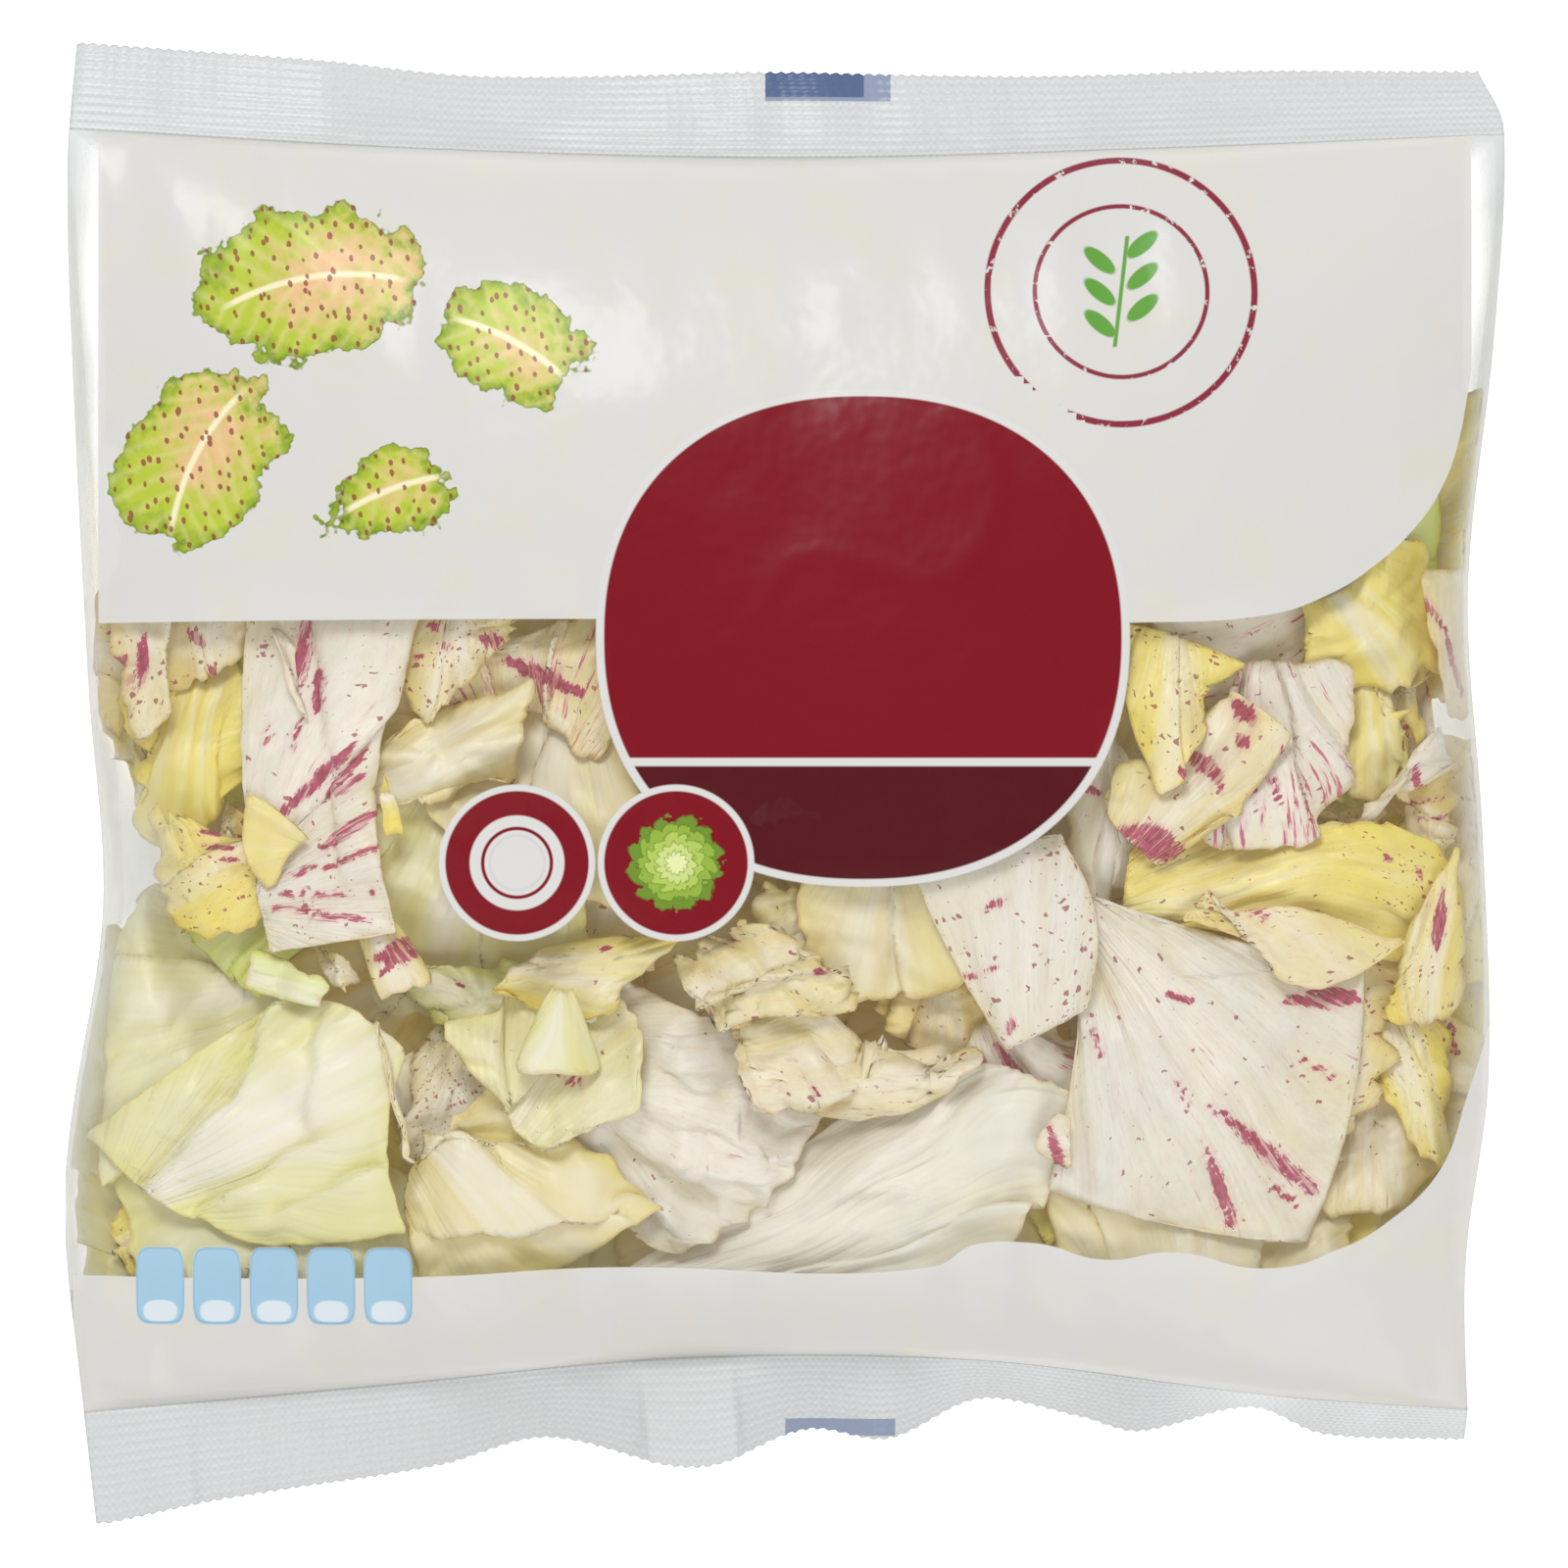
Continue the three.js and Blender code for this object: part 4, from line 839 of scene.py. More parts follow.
def lap_flap():
    """The back seam: the outer edge of the film, welded over the inner one along the bag."""
    u, t = net((LAP_FROM, LAP_TO), (-1, 1), LAP_CELLS)
    x, y = u + 0.8 * crease_noise(t * 6, t * 0), t * LAP_LENGTH / 2
    rise = np.maximum(back_height(x, y) + FILM_INSET, LEAST_LIFT)
    lift = smooth((u - LAP_FROM) / 1.5) * smooth((LAP_TO - u) / 1.5)
    lower = np.maximum(rise - LAP_THICKNESS * lift, 0.05)
    mesh, _ = closed_skin("film_lap", np.dstack([x, y, rise + 0.02]), np.dstack([x, y, lower]))
    mark_film(mesh, x, y, np.full(x.shape, 0.6), np.zeros(x.shape))
    return mesh


# ---------------------------------------------------------------- leaves

RIM_EDGE = 0.95 * MM  # shorter edges belong to the rim of a solid blade
WELD = 2e-5  # corners of a solid that are nearer than this are one


def sides_of(face):
    a, b, c = face
    return (a, b), (b, c), (c, a)


def welded(mesh):
    """A solid's points, with those in one place made one, and its triangles."""
    co = np.array([v.co for v in mesh.vertices])
    places = np.round(co / WELD).astype(int)
    _, first, weld = np.unique(places, axis=0, return_index=True, return_inverse=True)
    weld = np.asarray(weld).reshape(-1)
    return co[first], [tuple(int(weld[i]) for i in polygon.vertices) for polygon in mesh.polygons]


def first_row(points, faces, around):
    """Points along one end of a blade's first side, between corners with two triangles and with one."""
    sheet, queue = set(), [0]
    while queue:
        face = queue.pop()
        if face not in sheet:
            sheet.add(face)
            for side in sides_of(faces[face]):
                queue.extend(around[frozenset(side)])
    count, outline = {}, {}
    for face in sheet:
        for p in faces[face]:
            count[p] = count.get(p, 0) + 1
    for side, owners in around.items():
        if len(owners) == 1 and owners[0] in sheet:
            p, q = side
            outline.setdefault(p, []).append(q)
            outline.setdefault(q, []).append(p)
    start = min((p for p in outline if count[p] == 2), key=lambda p: tuple(points[p]))
    row = [start, min(outline[start], key=lambda p: tuple(points[p]))]
    while count[row[-1]] != 1:
        row.append(next(p for p in outline[row[-1]] if p != row[-2]))
    return row


def rows_from(row, faces, around):
    """All rows of a blade's first side, each reached from the one before across its cells' two triangles."""
    used, rows = set(), []

    def across(p, q):
        face = next((f for f in around.get(frozenset((p, q)), []) if f not in used), None)
        used.add(face)
        return None if face is None else next(r for r in faces[face] if r not in (p, q))

    while row:
        rows.append(row)
        following = []
        for p, q in zip(row, row[1:]):
            far = across(p, q)
            if far is None:
                break
            near = across(p, far)
            following = following or [near]
            following.append(far)
        row = following
    return rows


def blade_grid(node):
    """The middle of a solid blade as a grid of points."""
    points, triangles = welded(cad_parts[node].data)
    faces = [face for face in triangles
             if min(np.linalg.norm(points[p] - points[q]) for p, q in sides_of(face)) > RIM_EDGE]
    around = {}
    for number, face in enumerate(faces):
        for side in sides_of(face):
            around.setdefault(frozenset(side), []).append(number)
    rows = rows_from(first_row(points, faces, around), faces, around)
    grid = points[np.array(rows)]
    others = points[sorted(set(range(len(points))) - {p for row in rows for p in row})]
    gap = np.linalg.norm(grid[:, :, None] - others[None, None], axis=3)
    return (grid + others[gap.argmin(axis=2)]) / 2 / MM


def through_grid(grid, a, b):
    """Points of a smooth surface through a grid of points, at shares a and b of its two directions."""
    padded = grid
    for axis in (0, 1):
        padded = np.swapaxes(padded, 0, axis)
        padded = np.concatenate([2 * padded[:1] - padded[1:2], padded, 2 * padded[-1:] - padded[-2:-1]])
        padded = np.swapaxes(padded, 0, axis)

    def weights(t, count):
        t = clamp(t) * (count - 1)
        i = np.minimum(t.astype(int), count - 2)
        s = (t - i)[..., None]
        return i, [(-s + 2 * s**2 - s**3) / 2, (2 - 5 * s**2 + 3 * s**3) / 2,
                   (s + 4 * s**2 - 3 * s**3) / 2, (s**3 - s**2) / 2]

    (i, wi), (j, wj) = weights(a, grid.shape[0]), weights(b, grid.shape[1])
    return sum(wi[p] * wj[q] * padded[i + p, j + q] for p in range(4) for q in range(4))


def grown(grid, amount):
    """The same grid carried on by one more row and column on every side, a little flatter than it ends."""
    for axis in (0, 1):
        grid = np.swapaxes(grid, 0, axis)
        ends = []
        for edge, inner in ((grid[0], grid[1]), (grid[-1], grid[-2])):
            run = (edge - inner) * (1, 1, 0.4)
            ends.append((edge + run / np.linalg.norm(run, axis=-1, keepdims=True) * amount)[None])
        grid = np.swapaxes(np.concatenate([ends[0], grid, ends[1]]), 0, axis)
    return grid


def kept_inside(points, margin):
    """Points moved into the bag's plan, and up off its back."""
    x, y, z = points[..., 0], points[..., 1], points[..., 2]
    y = clamp(y, bottom_line(x) + margin, top_line(x) - margin)
    x = clamp(x, left_edge(y) + margin, right_edge(y) - margin)
    return np.dstack([x, y, np.maximum(z, back_height(x, y) + BACK_GAP)])


def patch_grid(corners, bulge):
    """A grid of plan points over a four-cornered patch whose sides bow out."""
    corners = np.array(corners, float)
    following = np.roll(corners, -1, axis=0)
    area = np.sum(corners[:, 0] * following[:, 1] - following[:, 0] * corners[:, 1])
    run = following - corners
    out = np.stack([run[:, 1], -run[:, 0]], 1) / np.linalg.norm(run, axis=1)[:, None] * np.sign(area)
    middles = (corners + following) / 2 + out * np.array(bulge, float)[:, None]
    a, b = net((0, 1), (0, 1), PATCH_CELLS)
    p, q = 2 * a - 1, 2 * b - 1
    weights = [(1 + sp * p) * (1 + sq * q) * (sp * p + sq * q - 1) / 4
               for sp, sq in ((-1, -1), (1, -1), (1, 1), (-1, 1))]
    weights += [(1 - p * p) * (1 - q) / 2, (1 - q * q) * (1 + p) / 2, (1 - p * p) * (1 + q) / 2,
                (1 - q * q) * (1 - p) / 2]
    return sum(w[..., None] * point for w, point in zip(weights, [*corners, *middles]))


class Stack:
    """A map over the bag of how low a leaf must lie to clear what is already above it."""

    X0, Y0, COLUMNS, ROWS = -126.0, -114.0, 253, 232

    def __init__(self):
        x = self.X0 + np.arange(self.COLUMNS) * STACK_CELL
        y = self.Y0 + np.arange(self.ROWS) * STACK_CELL
        x, y = np.meshgrid(x, y, indexing="ij")
        inside = (np.abs(across_of(x, y)) < 1) & (np.abs(along_of(x, y)) < 1)
        self.level = np.where(inside, front_film(x, y), SIDE_RISE) - CLEAR_OF_FILM

    def place(self, x, y):
        """A place's column and row, one away from the map's border at least."""
        i = np.clip(np.round((x - self.X0) / STACK_CELL).astype(int), 1, self.COLUMNS - 2)
        j = np.clip(np.round((y - self.Y0) / STACK_CELL).astype(int), 1, self.ROWS - 2)
        return i, j

    def limit(self, x, y):
        """Below what height a leaf is clear at a place and right beside it."""
        i, j = self.place(x, y)
        return np.min([self.level[i + p, j + q] for p in (-1, 0, 1) for q in (-1, 0, 1)], axis=0)

    def settle(self, points, half, rigid):
        """Lowers a leaf's grid of points where it would touch what lies above, easing the rest of it down."""
        limit = self.limit(points[..., 0], points[..., 1])
        lack = np.maximum(0, points[..., 2] + half + CLEAR_OF_LEAF - limit)
        if rigid:
            drop = np.full(lack.shape, np.percentile(lack, 90))
        else:
            drop = lack
            for _ in range(2):
                drop = spread(drop, 2, np.max)
            for _ in range(3):
                drop = spread(drop, 2, np.mean)
            drop = np.maximum(drop, lack * 0.98)
        points[..., 2] -= drop
        return points

    def stamp(self, points, half):
        """Puts the underside of a leaf into the map."""
        i, j = self.place(points[..., 0], points[..., 1])
        np.minimum.at(self.level, (i.ravel(), j.ravel()), (points[..., 2] - half).ravel())


def spread(values, reach, combine):
    """One pass of a filter with a square window over a grid."""
    for axis in (0, 1):
        width = [(reach, reach) if k == axis else (0, 0) for k in (0, 1)]
        padded = np.pad(values, width, mode="edge")
        along = np.arange(values.shape[axis])
        values = combine([np.take(padded, along + k, axis=axis) for k in range(2 * reach + 1)], axis=0)
    return values


def sawtooth(off, reach, sharp=FOLD_DROP):
    """Across a fold, from its crest: a drop on one side, over sharp, that eases back over reach."""
    return smooth(off / sharp) * np.exp(-clamp(off - sharp + FOLD_DROP, 0, 1e3) / reach)


def crest(off):
    """Across a fold: how far its crest leans out over the drop, as a share of the most."""
    away = off + 0.4
    return np.exp(-(away / np.where(away < 0, 4.0, 1.6)) ** 2)


def segment_closeness(x, y, strokes):
    """From 0 to 1, how near a place is to the nearest stroke: one half at the stroke's own edge."""
    near = np.zeros(x.shape)
    for x0, y0, x1, y1, width, *end_width in strokes:
        dx, dy = x1 - x0, y1 - y0
        t = clamp(((x - x0) * dx + (y - y0) * dy) / max(dx * dx + dy * dy, 1e-6))
        taper = 0.35 + 0.65 * np.sin(math.pi * clamp(t, 0.06, 0.94)) ** 0.6
        wide = mix(width, end_width[0] if end_width else width, t) * taper
        away = np.hypot(x - x0 - t * dx, y - y0 - t * dy)
        near = np.maximum(near, clamp(1 - away / np.maximum(wide, 0.5)))
    return near


def torn_edge(noise, k, t, size, shorter, amount):
    """How far in a leaf's k-th side lies along its length: lobes, tears, teeth and rounded corners."""
    run = t * size
    lobes = np.abs(noise.layered(run / 6.5 + 17 * k, 3.1 + 5 * k, 2)) * 3.2
    lobes = lobes + 1.3 + 1.3 * noise(run / 17 + 5 * k, 50.5 + k)
    tear = clamp(noise(run / 2.6 + 9 * k, 40.5 + k) - 0.5) * 3.5
    teeth = 0.5 + 0.5 * noise(run / 1.3 + 3 * k, 71.5 + k)
    corner = np.abs(2 * t - 1) ** 14 * min(1.0, 0.06 * shorter)
    return 0.35 * teeth + amount * (lobes + 0.9 * tear + 0.35 * teeth) + corner


def vein_fan(spec, seed, px, py, longer):
    """Where a leaf's veins fan out from, how far off that is, and each point's angle and distance from it."""
    middle = np.array([px.mean(), py.mean()])
    turn = spec.get("turn", np.random.default_rng(seed).uniform(0, 2 * math.pi))
    away = longer * ROOT_AWAY
    root = np.array(spec.get("root", (middle[0] + away * math.cos(turn), middle[1] + away * math.sin(turn))))
    reach = math.dist(middle, root)
    if np.hypot(px - root[0], py - root[1]).min() < ROOT_CLEAR:
        root = middle + (root - middle) * max(1, ROOT_LEAST * longer / reach)
        reach = math.dist(middle, root)
    heading = math.atan2(middle[1] - root[1], middle[0] - root[0])
    angle = (np.arctan2(py - root[1], px - root[0]) - heading + math.pi) % (2 * math.pi) - math.pi
    return root, reach, angle, np.hypot(px - root[0], py - root[1])


def drawn_folds(count, seed, noise, width, angle, reach, radius, outward):
    """Folds drawn at random along the veins: how deep they go, and how far their crests lean over."""
    folds, lean = 0, 0
    rng = np.random.default_rng(seed + 5000)
    for k in range(count):
        at, side, fall = rng.uniform(-0.9, 0.9), rng.choice((-1, 1)), rng.uniform(1.6, 4.0)
        off = (angle - at * width / 2 / reach) * radius + 3 * noise(radius / 15 + 7 * k, 33.5 + k)
        strength = smooth(0.8 + noise(radius / 16, 13.5 + k))
        folds = folds + fall * sawtooth(side * off, rng.uniform(4, 9)) * strength
        over = side * min(LEAN, 1.2 * fall) * crest(side * off) * strength
        lean = lean + over[..., None] * outward
    return folds, lean


def add_creases(depth, lean, creases, soft, noise, x, y):
    """Adds the folds that are given by place to how deep a leaf's folds go and how far their crests lean."""
    for x0, y0, x1, y1, fall, fall_over in creases:
        run = math.dist((x0, y0), (x1, y1))
        dx, dy = (x1 - x0) / run, (y1 - y0) / run
        along = ((x - x0) * dx + (y - y0) * dy) / run
        off = (x - x0) * dy - (y - y0) * dx + 1.2 * noise(along * 4, 90.5)
        strength = smooth(along * 5 + 0.6) * smooth((1 - along) * 5 + 0.6)
        depth = depth + 1.5 * fall * sawtooth(off, fall_over, soft) * strength
        over = min(LEAN, 1.6 * fall) * FOLD_DROP / soft * crest(off) * strength
        lean = lean + over[..., None] * (dy, -dx)
    return depth, lean


# What a leaf shows where its row says nothing else. The rows' keys are explained above LEAVES.
PLAIN = dict(rough=1.0, ruffle=1.0, crumple=1.0, rib=0.5, mood=0.0, specks=0.03, streaks=0.08,
             relief=RELIEF_KEPT, soft=FOLD_DROP, inset=EDGE_ROOM, cell=BLADE_CELL, creases=(), strokes=(),
             speckled=())


def leaf_piece(name, grid, spec, seed, stack=None, inwards=-1):
    """A cut leaf over a grid of points: a thin closed blade with a torn outline, folds, veins and marks."""
    spec = dict(PLAIN, **spec)
    noise = Noise(seed)
    width = np.linalg.norm(np.diff(grid, axis=0), axis=2).sum(0).mean()
    length = np.linalg.norm(np.diff(grid, axis=1), axis=2).sum(1).mean()
    shorter, longer = sorted((width, length))
    a, b = net((0, 1), (0, 1), [max(LEAST_CELLS, round(size / spec["cell"])) for size in (width, length)])
    rolled = "rolled" in spec
    rough = np.broadcast_to(spec["rough"], 4)
    low_a, high_a = (torn_edge(noise, k, b, length, shorter, rough[k]) / width for k in (0, 1))
    low_b, high_b = (torn_edge(noise, k, a, width, shorter, rough[k]) / length for k in (2, 3))
    a, b = mix(low_a, 1 - high_a, a), mix(low_b, 1 - high_b, b)
    points = through_grid(grid, a, b)
    if inwards < 0 and not rolled:
        depth = front_height(points[..., 0], points[..., 1]) - points[..., 2]
        points[..., 2] += (depth - depth.min()) * (1 - spec["relief"])
    points = kept_inside(points, spec["inset"])
    lx, ly = a * width, b * length
    rim = np.minimum(np.minimum(lx - low_a * width, (1 - high_a) * width - lx),
                     np.minimum(ly - low_b * length, (1 - high_b) * length - ly))
    x, y = points[..., 0], points[..., 1]

    # A rolled leaf's veins are drawn on the flat sheet.
    px, py = (lx, ly) if rolled else (x, y)
    root, reach, angle, radius = vein_fan(spec, seed, px, py, longer)
    angle = angle + 0.05 * noise(px / 18, py / 18)
    rib = np.exp(-(angle / 0.2) ** 2) * clamp(1.35 - radius / (reach + 20)) * spec["rib"]
    ridge = (1 - np.abs(noise(angle * reach / 4.5, radius / 90))) ** 7

    # Relief: ridged veins, soft crumples, a ruffled margin, and folds.
    edge = np.exp(-rim / EDGE_REACH)
    around = np.arctan2(b - 0.5, a - 0.5) * (width + length) / math.pi
    lively = smooth(0.75 + noise(around / 21, 80.5))
    frill = np.exp(-rim / FRILL_REACH) * (0.5 + 0.5 * noise(around / 3.3, 60.5 + rim / 9)) * lively
    curl = np.exp(-rim / CURL_REACH) * noise(around / 12, 20.5)
    crease = np.abs(noise.layered(lx / 15 + 0.3 * ly / 15, ly / 15 - 0.3 * lx / 15, 2)) ** 0.8
    pleat = np.abs(noise(angle * reach / 6 + 31, radius / 34)) ** 0.8
    blister = noise(lx / 4.3, ly / 4.3) + 0.5 * noise(lx / 2.1, ly / 2.1)
    outward = np.stack([root[1] - py, px - root[0]], -1) / np.maximum(radius, 1)[..., None]
    count = spec.get("folds", round(clamp(width * length / 260, 1, 5)))
    folds, lean = drawn_folds(count, seed, noise, width, angle, reach, radius, outward)
    swells = noise.layered(lx / 13, ly / 13, 2)
    uneven = SWELL_DEPTH * swells + CREASE_DEPTH * crease + PLEAT_DEPTH * pleat + BLISTER_DEPTH * blister
    margin = FRILL_DEPTH * frill + CURL_DEPTH * curl
    depth = folds + RIDGE_DEPTH * (1 - ridge) + spec["ruffle"] * margin + spec["crumple"] * uneven
    depth, lean = add_creases(depth, lean, spec["creases"], spec["soft"], noise, x, y)
    points[..., 2] += inwards * (depth - depth.min()) * (0.35 if rolled else 1)
    if not rolled:
        points[..., :2] += lean
        points = kept_inside(points, LEAST_EDGE_ROOM)
    thinning = THIN_SHARE + (1 - THIN_SHARE) * (1 - np.exp(-rim / THIN_REACH))
    half = BLADE / 2 * thinning + RIDGE_THICKNESS * ridge + RIB_THICKNESS * rib
    if stack is not None:
        points = kept_inside(stack.settle(points, half, rolled), LEAST_EDGE_ROOM)
        stack.stamp(points, half)

    normal = np.cross(np.gradient(points, axis=0), np.gradient(points, axis=1))
    normal /= np.maximum(np.linalg.norm(normal, axis=2), 1e-9)[..., None]
    upward = normal[..., 2].mean() > 0
    skins = (points + sign * normal * half[..., None] for sign in ((1, -1) if upward else (-1, 1)))
    mesh, _ = closed_skin(name, *skins, flip=not upward)

    shift = 61.0 * (seed % 41)  # so that no two leaves share their texture
    add_uv(mesh, "leaf", twice(lx) + shift, twice(ly) + 0.5 * shift)
    add_uv(mesh, "vein", twice(angle * reach) + shift, twice(radius) + shift)
    # The blade's valleys lean to the margin's tint: painted shade in its creases.
    valley_painted_shade = clamp((depth - spread(spread(depth, 3, np.mean), 3, np.mean)) / 1.6, -0.7, 1)
    toward = 0.25 + 0.7 * edge + 0.55 * noise.layered(lx / 14, ly / 14, 3) + 0.5 * valley_painted_shade + 0.6 * spec["mood"]
    add_colour(mesh, "tone", [twice(edge), twice(clamp(rib * 1.8)), twice(clamp(toward))])
    specks, streaks = spec["specks"], spec["streaks"]
    for sx, sy, size, amount in spec["speckled"]:
        specks = np.maximum(specks, amount * np.exp(-((x - sx) ** 2 + (y - sy) ** 2) / size**2))
    patchy = 0.75 + 0.5 * noise(lx / 11, ly / 11 + 30)
    inked = segment_closeness(x, y, spec["strokes"])
    add_colour(mesh, "marks", [twice(inked), twice(specks * patchy), twice(streaks * patchy)])
    marked = bool(spec["strokes"]) or np.max(specks) > 0.1 or streaks > 0.15
    slot = "leaf_" + ("cream" if spec["tint"] == "cream_in_painted_shade" else spec["tint"])
    return new_piece(mesh, slot, LEAF_MATERIALS[spec["tint"], marked])


# ---------------------------------------------------------------- what is in the bag

